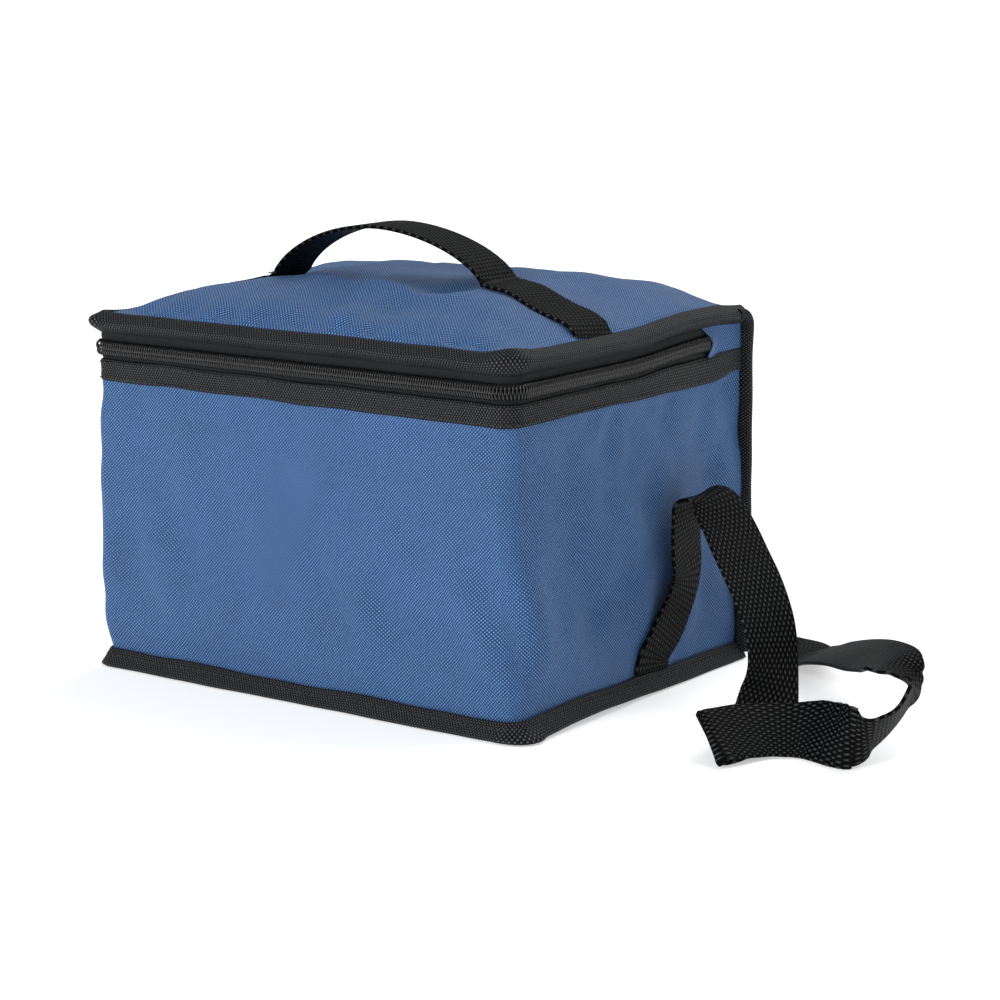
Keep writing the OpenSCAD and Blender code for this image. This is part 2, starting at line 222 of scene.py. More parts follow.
def make_floor():
    side = 20.0
    mesh = bpy.data.meshes.new("floor")
    mesh.from_pydata([(-side, -side, 0), (side, -side, 0), (side, side, 0), (-side, side, 0)],
                     [], [(0, 1, 2, 3)])
    floor = bpy.data.objects.new("floor", mesh)
    scene.collection.objects.link(floor)
    mat = bpy.data.materials.new("floor")
    mat.use_nodes = True
    pale = mat.node_tree.nodes["Principled BSDF"].inputs
    pale["Base Color"].default_value = (0.93, 0.93, 0.93, 1)
    pale["Roughness"].default_value = 0.85
    pale["Specular IOR Level"].default_value = 0.1
    pale["Emission Color"].default_value = (1, 1, 1, 1)
    pale["Emission Strength"].default_value = 0.45
    mesh.materials.append(mat)


# ------------------------------------------------------------------ materials
class Shader:
    """A Principled material and short calls that add and join its nodes."""

    def __init__(self, name, **sockets):
        self.mat = bpy.data.materials.new(name)
        self.mat.use_nodes = True
        self.tree = self.mat.node_tree
        self.bsdf = self.tree.nodes["Principled BSDF"]
        for key, value in sockets.items():
            self.bsdf.inputs[key.replace("_", " ")].default_value = value

    def node(self, kind, **settings):
        made = self.tree.nodes.new("ShaderNode" + kind)
        for key, value in settings.items():
            setattr(made, key, value)
        return made

    def put(self, socket, value):
        if isinstance(value, bpy.types.NodeSocket):
            self.tree.links.new(value, socket)
        else:
            socket.default_value = value

    def calc(self, operation, a, b=0.0, c=0.0, clamp=False):
        made = self.node("Math", operation=operation, use_clamp=clamp)
        for socket, value in zip(made.inputs, (a, b, c)):
            self.put(socket, value)
        return made.outputs[0]

    def blend(self, share, low, high):
        """Colour low at share 0 and high at share 1."""
        made = self.node("Mix", data_type="RGBA")
        for socket, value in zip([made.inputs[0], made.inputs[6], made.inputs[7]],
                                 (share, low, high)):
            self.put(socket, value)
        return made.outputs[2]

    def place(self, scale=(1, 1, 1)):
        """The cloth's own coordinates in metres, times scale."""
        lies = self.node("Attribute", attribute_name="weave", attribute_type="GEOMETRY")
        grown = self.node("VectorMath", operation="MULTIPLY")
        self.put(grown.inputs[0], lies.outputs["Vector"])
        grown.inputs[1].default_value = scale
        return grown.outputs[0]

    def noise(self, where, scale, detail=2.0, rough=0.5):
        made = self.node("TexNoise")
        self.put(made.inputs["Vector"], where)
        made.inputs["Scale"].default_value = scale
        made.inputs["Detail"].default_value = detail
        made.inputs["Roughness"].default_value = rough
        return made.outputs["Fac"]

    def bump(self, height, distance, strength=1.0, after=None):
        made = self.node("Bump")
        made.inputs["Strength"].default_value = strength
        made.inputs["Distance"].default_value = distance
        self.put(made.inputs["Height"], height)
        if after is not None:
            self.put(made.inputs["Normal"], after)
        return made.outputs["Normal"]

    def threads(self, wide, tall):
        """Plain weave with threads wide and tall metres apart. Returns its height, which
        thread is on top (1 warp, -1 weft) and one random value for each crossing."""
        split = self.node("SeparateXYZ")
        self.put(split.inputs[0], self.place((1 / wide, 1 / tall, 1)))
        a, b = split.outputs[0], split.outputs[1]
        ca = self.calc("COSINE", self.calc("MULTIPLY", a, PI))
        cb = self.calc("COSINE", self.calc("MULTIPLY", b, PI))
        over = self.calc("MULTIPLY", ca, cb)
        warp = self.calc("MULTIPLY", self.calc("ABSOLUTE", ca),
                         self.calc("MULTIPLY_ADD", over, 0.5, 0.5))
        weft = self.calc("MULTIPLY", self.calc("ABSOLUTE", cb),
                         self.calc("MULTIPLY_ADD", over, -0.5, 0.5))
        height = self.calc("MAXIMUM", warp, weft)
        cell = self.node("CombineXYZ")
        self.put(cell.inputs[0], self.calc("FLOOR", self.calc("ADD", a, 0.5)))
        self.put(cell.inputs[1], self.calc("FLOOR", self.calc("ADD", b, 0.5)))
        dice = self.node("TexWhiteNoise", noise_dimensions="3D")
        self.put(dice.inputs["Vector"], cell.outputs[0])
        return height, over, dice.outputs["Value"]


def woven(name, dark, light, wide, tall, relief, roughness, sheen=0.0, tone=0.2, specular=0.3,
          uneven=0.3, duty=0.42):
    """Cloth or tape: painted highlight where the warp is on top, painted shade in the gaps and on the weft.
    """
    s = Shader(name, Roughness=roughness, Specular_IOR_Level=specular, Sheen_Weight=sheen,
               Sheen_Roughness=0.45)
    height, over, thread = s.threads(wide, tall)
    # top: painted highlight on the warp's crowns
    top = s.calc("MULTIPLY_ADD", over, 0.8, duty, clamp=True)
    # gap: painted shade in the gaps between the threads
    gap = s.calc("MULTIPLY_ADD", height, 0.5, 0.5)
    # share of the light colour: painted crown highlight times painted gap shade, then random tone per
    # thread
    lit_crowns_and_fleck = s.calc("MULTIPLY", s.calc("POWER", top, 1.2), gap)
    fleck = s.calc("MULTIPLY_ADD", s.calc("SUBTRACT", thread, 0.5), uneven, 1.0)
    lit_crowns_and_fleck = s.calc("MULTIPLY", lit_crowns_and_fleck, fleck, clamp=True)
    cloud = s.noise(s.place(), 26.0, 3.0)
    shade = s.calc("MULTIPLY_ADD", s.calc("SUBTRACT", cloud, 0.5), tone, 1.0)
    toned = s.node("VectorMath", operation="SCALE")
    # dark is the painted shade of the gaps and weft, light the painted highlight of the warp crowns
    s.put(toned.inputs[0], s.blend(lit_crowns_and_fleck, (*dark, 1), (*light, 1)))
    s.put(toned.inputs["Scale"], shade)
    s.put(s.bsdf.inputs["Base Color"], toned.outputs[0])
    s.put(s.bsdf.inputs["Roughness"],
          s.calc("MULTIPLY_ADD", s.calc("SUBTRACT", 1.0, height), 0.2, roughness - 0.08))
    raised = s.calc("MULTIPLY", height, s.calc("MULTIPLY_ADD", over, 0.2, 0.8))
    s.put(s.bsdf.inputs["Normal"], s.bump(raised, relief))
    return s.mat


def make_foil():
    """Heat-sealed silver lining: fine crinkles and a faint grid."""
    s = Shader("silver_foil", Base_Color=(0.74, 0.75, 0.77, 1), Metallic=0.85, Roughness=0.34)
    crush = s.node("TexVoronoi", feature="DISTANCE_TO_EDGE")
    s.put(crush.inputs["Vector"], s.place())
    crush.inputs["Scale"].default_value = 70
    fine = s.noise(s.place(), 190.0, 5.0, 0.6)
    normal = s.bump(fine, 0.5 * MM, 0.8)
    crease = s.calc("MINIMUM", crush.outputs["Distance"], 0.12)
    s.put(s.bsdf.inputs["Normal"], s.bump(crease, 3 * MM, 0.7, normal))
    worn = s.noise(s.place(), 40.0, 4.0)
    s.put(s.bsdf.inputs["Base Color"],
          s.blend(worn, (0.60, 0.61, 0.63, 1), (0.84, 0.85, 0.87, 1)))
    return s.mat


def make_foam():
    s = Shader("foam", Base_Color=(0.8, 0.81, 0.82, 1), Roughness=0.7, Subsurface_Weight=0.1)
    cells = s.node("TexVoronoi", feature="F1")
    where = s.node("TexCoord").outputs["Object"]
    s.put(cells.inputs["Vector"], where)
    cells.inputs["Scale"].default_value = 900
    s.put(s.bsdf.inputs["Normal"], s.bump(cells.outputs["Distance"], 0.2 * MM))
    s.put(s.bsdf.inputs["Base Color"],
          s.blend(s.noise(where, 60.0), (0.74, 0.75, 0.77, 1), (0.86, 0.87, 0.88, 1)))
    return s.mat


def make_plain(name, dark, light, roughness, grain, relief, **sockets):
    """Moulded or cast black part with a fine grain and slight wear."""
    s = Shader(name, Roughness=roughness, **sockets)
    where = s.node("TexCoord").outputs["Object"]
    fine = s.noise(where, grain, 3.0)
    s.put(s.bsdf.inputs["Base Color"], s.blend(s.noise(where, grain / 9), (*dark, 1), (*light, 1)))
    s.put(s.bsdf.inputs["Roughness"], s.calc("MULTIPLY_ADD", fine, 0.16, roughness - 0.08))
    s.put(s.bsdf.inputs["Normal"], s.bump(fine, relief))
    return s.mat


# woven colour pairs: first the painted shade for the gaps and weft, then the painted highlight for the warp
# crowns; on the black tapes the light crowns are painted glints
BLUE = woven("blue_polyester", (0.010, 0.034, 0.098), (0.158, 0.405, 0.890),
             0.75 * MM, 0.75 * MM, 0.18 * MM, 0.6, sheen=0.06, duty=0.2)
BINDING = woven("ribbed_binding", (0.0015, 0.0016, 0.002), (0.150, 0.156, 0.165),
                0.66 * MM, 1.0 * MM, 0.2 * MM, 0.55, specular=0.15, duty=0.02)
WEBBING = woven("polypropylene_webbing", (0.0015, 0.0016, 0.0018), (0.085, 0.088, 0.090),
                2.1 * MM, 1.1 * MM, 0.5 * MM, 0.5, specular=0.04, duty=0.0)
TAPE = woven("zip_tape", (0.006, 0.0065, 0.007), (0.024, 0.026, 0.028),
             0.5 * MM, 0.5 * MM, 0.1 * MM, 0.6, specular=0.12)
COIL = make_plain("nylon_coil", (0.006, 0.006, 0.007), (0.012, 0.012, 0.013), 0.26, 500,
                  0.02 * MM, Specular_IOR_Level=0.6)
METAL = make_plain("enamelled_zinc", (0.008, 0.008, 0.009), (0.02, 0.02, 0.021), 0.3, 700,
                   0.03 * MM, Specular_IOR_Level=0.6, Coat_Weight=0.4)
THREAD = make_plain("black_thread", (0.006, 0.006, 0.007), (0.02, 0.02, 0.021), 0.55, 3000,
                    0.04 * MM)
FOIL = make_foil()
FOAM = make_foam()


# ------------------------------------------------------------------ mesh making
def add_mesh(name, points, faces, material, weave=None):
    mesh = bpy.data.meshes.new(name)
    mesh.from_pydata(np.asarray(points, float).reshape(-1, 3).tolist(), [], faces)
    mesh.polygons.foreach_set("use_smooth", [True] * len(mesh.polygons))
    if weave is not None:
        lies = np.zeros((len(mesh.vertices), 3), np.float32)
        lies[:, :2] = np.asarray(weave, float).reshape(-1, 2)
        mesh.attributes.new("weave", "FLOAT_VECTOR", "POINT").data.foreach_set(
            "vector", lies.ravel())
    mesh.materials.append(material)
    obj = bpy.data.objects.new(name, mesh)
    scene.collection.objects.link(obj)
    return obj


def grid_faces(rows, cols, first=0, flip=False, wrap=False):
    r = np.arange(rows - 1)[:, None] * cols
    c = np.arange(cols if wrap else cols - 1)[None, :]
    d = (c + 1) % cols
    quad = stacked(r + c, r + d, r + cols + d, r + cols + c).reshape(-1, 4) + first
    return (quad[:, ::-1] if flip else quad).tolist()


def normals_of(P):
    """Unit normals of a grid of points."""
    n = np.cross(np.gradient(P, axis=0), np.gradient(P, axis=1))
    return n / np.maximum(np.linalg.norm(n, axis=-1, keepdims=True), 1e-12)


def shell(name, P, W, material, thick, inward=1):
    """Closed sheet of cloth: P is a grid of points on its outer face, W their cloth
    coordinates. inward is 1 or -1, the side of the grid's normal where the inside lies."""
    rows, cols = P.shape[:2]
    inner = P + inward * thick * normals_of(P)
    n = rows * cols
    faces = grid_faces(rows, cols, 0, inward > 0) + grid_faces(rows, cols, n, inward < 0)
    loop = [(0, c) for c in range(cols - 1)] + [(r, cols - 1) for r in range(rows - 1)]
    loop += [(rows - 1, c) for c in range(cols - 1, 0, -1)] + [(r, 0) for r in range(rows - 1, 0, -1)]
    ids = [r * cols + c for r, c in loop]
    for a, b in zip(ids, ids[1:] + ids[:1]):
        faces.append((a, b, b + n, a + n) if inward > 0 else (b, a, a + n, b + n))
    return add_mesh(name, np.concatenate([P.reshape(-1, 3), inner.reshape(-1, 3)]), faces,
                    material, np.concatenate([W.reshape(-1, 2)] * 2))


def tube(name, P, W, material):
    """Closed tube with flat ends: P is rows of rings."""
    rows, cols = P.shape[:2]
    faces = grid_faces(rows, cols, wrap=True)
    faces += [tuple(range(cols))[::-1], tuple((rows - 1) * cols + c for c in range(cols))]
    return add_mesh(name, P, faces, material, W)


def capsules(name, paths, radius, material, sides=6, flat=1.0):
    """Many short rounded threads in one mesh. paths: array of shape (count, points, 3)."""
    paths = np.asarray(paths, float)
    count, n = paths.shape[:2]
    tangent = np.gradient(paths, axis=1)
    tangent /= np.linalg.norm(tangent, axis=-1, keepdims=True)
    up = np.broadcast_to(np.array([0.31, 0.23, 0.92]), tangent.shape)
    side = np.cross(tangent, up)
    side /= np.linalg.norm(side, axis=-1, keepdims=True)
    rise = np.cross(side, tangent)
    swell = radius * np.sqrt(np.clip(1 - np.linspace(-0.96, 0.96, n) ** 6, 0.05, 1))
    turn = np.arange(sides) / sides * 2 * PI
    points = (paths[:, :, None] + swell[None, :, None, None]
              * (side[:, :, None] * np.cos(turn)[None, None, :, None]
                 + flat * rise[:, :, None] * np.sin(turn)[None, None, :, None]))
    faces = []
    one = grid_faces(n, sides, wrap=True) + [tuple(range(sides))[::-1],
                                             tuple((n - 1) * sides + k for k in range(sides))]
    for i in range(count):
        faces += [tuple(v + i * n * sides for v in f) for f in one]
    flat_uv = np.zeros((count * n * sides, 2))
    return add_mesh(name, points, faces, material, flat_uv)


def bake(obj):
    """Applies the modifiers."""
    bpy.context.view_layer.update()
    seen = obj.evaluated_get(bpy.context.evaluated_depsgraph_get())
    obj.data = bpy.data.meshes.new_from_object(seen)
    obj.modifiers.clear()


def fasten(obj, body, slot, *nodes):
    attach(obj, body)
    if nodes:
        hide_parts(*nodes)
    return obj


def bridge(obj, a, b, start, end, slot, *nodes):
    """Cloth that crosses the joint between bodies a and b. It is tied to neither body: this only bakes its
    placement into its mesh and hides the given parts.
    """
    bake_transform(obj)
    if nodes:
        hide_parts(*nodes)
    return obj


# ------------------------------------------------------------------ the bag's surface
def slump(P):
    """How the soft bag leans from its true box: the front foot spreads towards the near
    corner, the left front corner bulges, and the right foot and the right end of the
    zip rise."""
    P = np.array(P, float)
    x, y, z = P[..., 0], P[..., 1], P[..., 2]
    foot = ease(-z, -0.095, -0.005) * ease(-y, -0.05, 0.085)
    near = foot * ease(x, 0.02, 0.107)
    right = ease(x, 0.03, 0.1)
    lift = 3.2 * MM * right * ease(y, -0.01, 0.055) * ease(z, 0.126, 0.138)
    curl = 3.2 * MM * right * ease(y, 0.058, 0.082) * (ease(z, 0.115, 0.126)
                                                       * (1 - ease(z, 0.13, 0.136)))
    zip_high = ease(z, 0.118, 0.13)          # where the slider runs the side stays straight
    edge = ease(-x, 0.06, 0.105) * (ease(-y, 0.0, 0.08) * (1 - zip_high)
                                    + ease(-y, 0.058, 0.085) * zip_high)
    out = edge * (1.9 * MM * ease(z, 0.002, 0.022) + 2.0 * MM * bell(z, 0.017, 0.02) + 1.3 * MM * foot)
    P[..., 0] = x + 2.6 * MM * foot + 0.7 * MM * near - out
    rise = 2.0 * MM * ease(x, 0.085, 0.107) * bell(y, -34 * MM, 40 * MM) * (1 - ease(z, 0.0, 0.03))
    P[..., 2] = z + lift + curl + rise - 1.6 * MM * right * ease(y, 0.06, 0.084) * ease(z, 0.14, 0.15)
    return P


def ring(s):
    """Point on the wall line and outward direction at distance s round the bag."""
    s = np.asarray(s, float)
    a1 = np.clip((s - LEG1) / BEND1, 0, PI / 2)
    a2 = np.clip((s - TURN) / BEND2, 0, PI / 2)
    parts = [s < LEG1, s < LEG1 + ARC1, s < TURN, s < TURN + ARC2]
    x = np.select(parts, [-HX + 0 * s, -HX + BEND1 - BEND1 * np.cos(a1),
                          -HX + BEND1 + (s - LEG1 - ARC1), HX - BEND2 + BEND2 * np.sin(a2)], HX)
    y = np.select(parts, [HY - s, -HY + BEND1 - BEND1 * np.sin(a1), -HY + 0 * s,
                          -HY + BEND2 - BEND2 * np.cos(a2)], -HY + BEND2 + (s - (TURN + ARC2)))
    nx = np.select(parts, [-1 + 0 * s, -np.cos(a1), 0 * s, np.sin(a2)], 1)
    ny = np.select(parts, [0 * s, -np.sin(a1), -1 + 0 * s, -np.cos(a2)], 0)
    return x, y, nx, ny


drape = Ripple(11, 24 * MM, 80 * MM, 14, 0.5)
billow = Ripple(16, 30 * MM, 90 * MM, 14)
broad = Ripple(15, 70 * MM, 140 * MM, 8)
crumple = Ripple(12, 14 * MM, 30 * MM, 16)
foot_puckers = Puckers(13, 0, RING, 12 * MM, 1.6 * MM, 9 * MM)
band_puckers = Puckers(14, 0, RING, 19 * MM, 2.6 * MM, 40 * MM)


def swell(s, z):
    """How far the cloth stands out from the flat wall."""
    s, z = np.broadcast_arrays(np.asarray(s, float), np.asarray(z, float))
    front, right = (s - S_LEFT) / (S_NEAR - S_LEFT), (s - S_NEAR) / (RING - S_NEAR)
    share = np.where(s < S_LEFT, s / S_LEFT, np.where(s < S_NEAR, front, right))
    belly = np.sin(PI * np.clip(share, 0, 1)) ** 0.7 * np.sin(PI * np.clip(z / 0.132, 0, 1)) ** 0.75
    deep = np.where((s > S_LEFT) & (s < S_NEAR), 1.2, 2.0) * MM
    middle = np.sin(PI * np.clip((z - 0.004) / 0.124, 0, 1)) ** 0.5
    corner = (bell(s, S_NEAR, 8 * MM) - 1.7 * bell(s, S_LEFT, 16 * MM)) * middle
    inside = ease(z, 0.006, 0.03) * (1 - ease(z, 0.112, 0.124))
    patch = np.clip(0.62 + 0.6 * broad(s, z), 0.1, 1.3)
    soft = 2.3 * MM * patch * (0.75 * drape(s, z) + 0.6 * billow(s, z)) + 0.3 * MM * crumple(s, z)
    tuck = -0.7 * MM * (1 - ease(z, 0.006, 0.02))
    low = foot_puckers(s, z - BASE_TOP + 1 * MM)
    high = band_puckers(s, band_lo.z - z)
    total = deep * belly - 1.1 * MM * corner + inside * soft + tuck + low + high
    return total * (1 - ease(z, 0.125, 0.129))


def wall(s, z, off=0.0):
    x, y, nx, ny = ring(s)
    out = off + swell(s, z)
    return slump(stacked(x + nx * out, y + ny * out, z))


def strip(s, section, wave=None):
    """Tape carried round the bag. section: (outward, height) points from the lower to the
    upper edge. Returns the grid of points and its cloth coordinates."""
    off, z = section[:, 0], section[:, 1]
    across = np.concatenate([[0], np.cumsum(np.hypot(np.diff(off), np.diff(z)))])
    S, O = grid(s, off)
    Z = np.broadcast_to(z, S.shape)
    if wave is not None:
        dO, dZ = wave(S, Z)
        O, Z = O + dO, Z + dZ
    x, y, nx, ny = ring(S)
    hold = swell(S, np.clip(Z, 0.004, WALL))
    out = O + np.where(Z > band_lo.z - 1 * MM, 0.0, hold)
    P = slump(stacked(x + nx * out, y + ny * out, Z))
    return P, stacked(S, across[None, :])


def stitches(name, centres, outward, along, length, radius):
    """One row of lockstitches: each lies on the cloth and dives in at its ends."""
    t = np.linspace(-1, 1, 7)
    dip = (1 - t ** 2) ** 0.6 - 0.45
    paths = (centres[:, None] + along[:, None] * (t * length / 2)[None, :, None]
             + outward[:, None] * (dip * radius * 1.3)[None, :, None])
    return capsules(name, paths, radius, THREAD, 5)


def stitch_row(name, s0, s1, off, z, every=STITCH_STEP):
    """Stitches in a row round the bag at one height."""
    count = int((s1 - s0) / every)
    s = s0 + (np.arange(count) + 0.5) * every
    P, _ = strip(s, np.array([[off, z], [off, z + 0.1 * MM]]))
    x, y, nx, ny = ring(s)
    out = stacked(nx, ny, 0 * nx)
    along = stacked(-ny, nx, 0 * nx)
    return stitches(name, P[:, 0], out, along, every * 0.74, THREAD_RADIUS)


# ------------------------------------------------------------------ strap (loose webbing)
# each row: a middle point in millimetres, then the direction its width points in
STRAP = np.array([
    [108.4, 14, 8.2, 0, 1, 0], [109, 15, 15, 0, 1, 0], [111.5, 21, 25, 0, 1, -.1],
    [113, 28, 36, -.08, 1, -.08], [114, 32, 48, -.1, 1, -.05], [115.5, 28.7, 64, -.1, 1, 0],
    [117.5, 27.4, 75.5, 0, 1, .05], [120, 27, 82, .15, .98, .12], [127.5, 28.5, 82.5, .33, .94, .08],
    [137, 26, 73.5, .5, .86, .03], [148, 19.5, 63, .49, .87, .08], [158, 14, 53, .46, .88, .1],
    [167, 9, 41, .42, .9, .03], [171.5, 6, 30, .4, .91, -.08], [173, 4, 20, .42, .9, -.08],
    [174, 0, 11, .6, .78, .05], [176, -8, 3.5, .8, .6, 0], [182, -20, 1.5, .97, .25, 0],
    [186.5, -32, 2, 1, 0, -.1], [185, -41, 5, .85, -.25, -.35], [186, -53.3, 8.2, .68, -.46, -.57],
    [184.3, -60, 8.2, .68, -.46, -.57], [184, -62.7, 9.7, .68, -.46, -.57],
    [186, -61.4, 11, .68, -.46, -.57], [188, -54.5, 10.6, .64, -.49, -.59], [193, -41, 9.6, .5, -.6, -.64],
    [201.4, -33, 9, .44, -.63, -.66], [210, -31.4, 8.9, .42, -.62, -.66], [219, -34, 9.2, .38, -.62, -.66],
    [225, -37, 9.9, .28, -.55, -.75], [231.5, -39.2, 11.8, 0, -.1, -.95],
    [238.3, -36, 13, -.4, .44, -.76], [242, -30.5, 16, -.3, .82, -.5], [245, -25.5, 20, -.37, .86, -.37],
    [246.5, -21, 25, -.37, .88, -.3], [246.5, -17, 29.5, -.33, .92, -.2],
    [243, -15.5, 33.2, -.25, .95, -.05], [236.4, -12.4, 35, -.1, .95, .03], [227.5, -1, 34.4, .25, .88, .2],
    [208, 20, 29, .35, .8, .32], [188, 41, 23, .45, .78, .3], [166, 63, 15, .52, .75, .28],
    [145, 84, 6, .5, .82, .25], [120, 105, 0, .3, .95, .1], [85, 110, 0, 0, 1, .1],
    [55, 113, 0, 0, 1, .12], [25, 119, 0, 0, 1, .14], [-5, 116, 0, 0, 1, .16], [-35, 110, 0, 0, 1, .2],
    [-65, 112, 0, 0, 1, .2], [-95, 116, 0, -.1, 1, .25], [-122, 112, 0, -.3, .9, .35],
    [-143, 99, 0, -.4, .5, .75], [-155, 80, 0, -.1, .1, 1], [-159, 62, 0, -.5, 0, .85],
    [-158, 46, 0, -.9, 0, .4], [-156, 33, 1.2, -1, 0, 0], [-154, 25, 7, -1, .05, 0],
    [-152, 21.5, 18, -.9, .4, 0], [-149, 20, 30, -.6, .8, 0], [-145, 19, 44, -.3, .95, 0],
    [-140, 17, 60, 0, 1, 0], [-134, 15, 73, 0, 1, 0], [-127, 14, 79, 0, 1, 0], [-120, 14, 75, 0, 1, 0],
    [-115.5, 14, 62, 0, 1, 0], [-112, 14, 44, 0, 1, 0], [-109.8, 14, 25, 0, 1, 0],
    [-108.4, 14, 8.2, 0, 1, 0]], float)
STRAP_PICK = 0.7 * MM                        # one row of the webbing's weave
STRAP_SAMPLES = 4000


def ribbon_section(width, thick):
    """Outline of webbing: flat faces and rounded, slightly thicker edges."""
    half, h = width / 2, thick / 2
    across = np.concatenate([np.linspace(-half + 0.9 * MM, half - 0.9 * MM, 9),
                             [half - 0.35 * MM, half, half - 0.35 * MM]])
    up = np.concatenate([np.full(9, h), [h * 0.8, 0, -h * 0.8]])
    lower = np.linspace(half - 0.9 * MM, -half + 0.9 * MM, 9)
    across = np.concatenate([across, lower, [-half + 0.35 * MM, -half, -half + 0.35 * MM]])
    up = np.concatenate([up, np.full(9, -h), [-h * 0.8, 0, h * 0.8]])
    return across, up


def ribbon(name, centre, width_dir, run):
    """Webbing along centre points whose width points along width_dir."""
    tangent = np.gradient(centre, axis=0)
    tangent /= np.linalg.norm(tangent, axis=1, keepdims=True)
    W = width_dir - (width_dir * tangent).sum(1, keepdims=True) * tangent
    W /= np.linalg.norm(W, axis=1, keepdims=True)
    N = np.cross(tangent, W)
    across, up = ribbon_section(WEB, WEB_THICK)
    odd = np.where(np.arange(len(centre)) % 2 == 0, 1.0, -1.0)[:, None]
    edge = np.clip((np.abs(across) - WEB / 2 + 0.6 * MM) / (0.6 * MM), 0, 1)
    side = across[None, :] + np.sign(across)[None, :] * edge[None, :] * odd * 0.08 * MM
    P = centre[:, None] + W[:, None] * side[..., None] + N[:, None] * up[None, :, None]
    lies = stacked(run[:, None], across[None, :])
    return tube(name, P, lies, WEBBING)


def make_strap():
    """Webbing along STRAP: spaced evenly, softened and kept above the floor."""
    n = len(STRAP) - 1
    q = np.vstack([STRAP[:1], STRAP, STRAP[-1:]])

    def at(u):
        i = np.minimum(n - 1, np.floor(u).astype(int))
        t = (u - i)[:, None]
        a, b, c, d = q[i], q[i + 1], q[i + 2], q[np.minimum(i + 3, n + 2)]
        return 0.5 * (2 * b + (c - a) * t + (2 * a - 5 * b + 4 * c - d) * t ** 2
                      + (3 * b - a - 3 * c + d) * t ** 3)

    def soften(values, reach):
        ends = np.pad(values, ((reach, reach), (0, 0)), "edge")
        return np.stack([np.convolve(c, np.ones(2 * reach + 1) / (2 * reach + 1), "valid")
                         for c in ends.T], -1)

    p = at(np.linspace(0, n, STRAP_SAMPLES))
    even = distance(p[:, :3])
    at_even = np.linspace(0, even[-1], STRAP_SAMPLES)
    p = np.stack([np.interp(at_even, even, c) for c in p.T], -1)
    raw = p[:, 2].copy()
    p = np.hstack([soften(p[:, :3], 6), soften(p[:, 3:], 14)])
    for _ in range(2):                       # lift what would lie under the floor
        T = np.gradient(p[:, :3], axis=0)
        T /= np.linalg.norm(T, axis=1, keepdims=True)
        W = p[:, 3:] - (p[:, 3:] * T).sum(1, keepdims=True) * T
        W /= np.linalg.norm(W, axis=1, keepdims=True)
        N = np.cross(T, W)
        low = WEB / MM / 2 * np.abs(W[:, 2]) + 0.8 * np.abs(N[:, 2]) + 0.3
        wanted = np.maximum(raw, low)
        soft = np.convolve(np.pad(wanted, 10, "edge"), np.ones(21) / 21, "valid")
        p[:, 2] = np.maximum(soft, low)
    run = distance(p[:, :3]) * MM
    rows = int(run[-1] / STRAP_PICK)
    at_run = np.linspace(0, run[-1], rows)
    centre = np.stack([np.interp(at_run, run, p[:, k] * MM) for k in range(3)], -1)
    width = np.stack([np.interp(at_run, run, W[:, k]) for k in range(3)], -1)
    strap = ribbon("shoulder_strap_webbing", centre, width, at_run)
    fasten(strap, "bag", "webbing", "shoulder_strap")
    return strap


# ------------------------------------------------------------------ walls, base, back
def make_wrap():
    s = np.linspace(0, RING, 300)
    z = np.concatenate([np.linspace(2 * MM, 30 * MM, 24), np.linspace(31.6 * MM, WALL - 2 * MM, 60)])
    S, Z = grid(s, z)
    P = wall(S, Z, -0.25 * MM * ease(Z, 0.125, 0.129))
    fasten(shell("outer_cloth", P, stacked(S, Z), BLUE, CLOTH_THICK, -1),
           "bag", "blue_cloth", "outer_wrap")


back_drape = Ripple(21, 30 * MM, 110 * MM, 12)


def make_back():
    x = np.linspace(-HX + 0.6 * MM, HX - 0.6 * MM, 110)
    z = np.linspace(2 * MM, SEAM - 0.6 * MM, 80)
    X, Z = grid(x, z)
    belly = np.cos(PI / 2 * X / HX) ** 0.7 * np.sin(PI * np.clip(Z / SEAM, 0, 1)) ** 0.75
    soft = ease(Z, 0.008, 0.03) * (1 - ease(Z, 0.12, 0.138)) * ease(HX - np.abs(X), 0, 0.02)
    low = foot_puckers(X + RING / 2, Z - BASE_TOP + 1 * MM)
    Y = HY - 0.1 * MM + 1.5 * MM * belly + 0.6 * MM * soft * back_drape(X, Z) + 0.6 * low
    P = slump(stacked(X, Y, Z))
    fasten(shell("back_cloth", P, stacked(X, Z), BLUE, CLOTH_THICK, 1),
           "bag", "blue_cloth", "back_panel")


def outline(n, inset=0.0):
    """n points round the whole foot, from the back left corner, with outward directions.
    The back corners are nearly square."""
    r = 2.5 * MM
    quarter = PI * r / 2
    behind = 2 * (HX - r)
    total = RING - 2 * r + 2 * quarter + behind
    d = np.linspace(0, total, n)
    x, y, nx, ny = ring(np.clip(d + r, r, RING - r))
    ends = RING - 2 * r
    a = np.clip((d - ends) / r, 0, PI / 2)
    b = np.clip((d - ends - quarter - behind) / r, 0, PI / 2)
    turn, rear = d > ends, d > ends + quarter
    last = d > ends + quarter + behind
    x = np.select([last, rear, turn], [-HX + r - r * np.sin(b), HX - r - (d - ends - quarter),
                                       HX - r + r * np.cos(a)], x)
    y = np.select([last, rear, turn], [HY - r + r * np.cos(b), HY + 0 * d, HY - r + r * np.sin(a)], y)
    nx = np.select([last, rear, turn], [-np.sin(b), 0 * d, np.cos(a)], nx)
    ny = np.select([last, rear, turn], [np.cos(b), 1 + 0 * d, np.sin(a)], ny)
    return d, x - nx * inset, y - ny * inset, nx, ny


foot_wave = Ripple(31, 25 * MM, 90 * MM, 10)


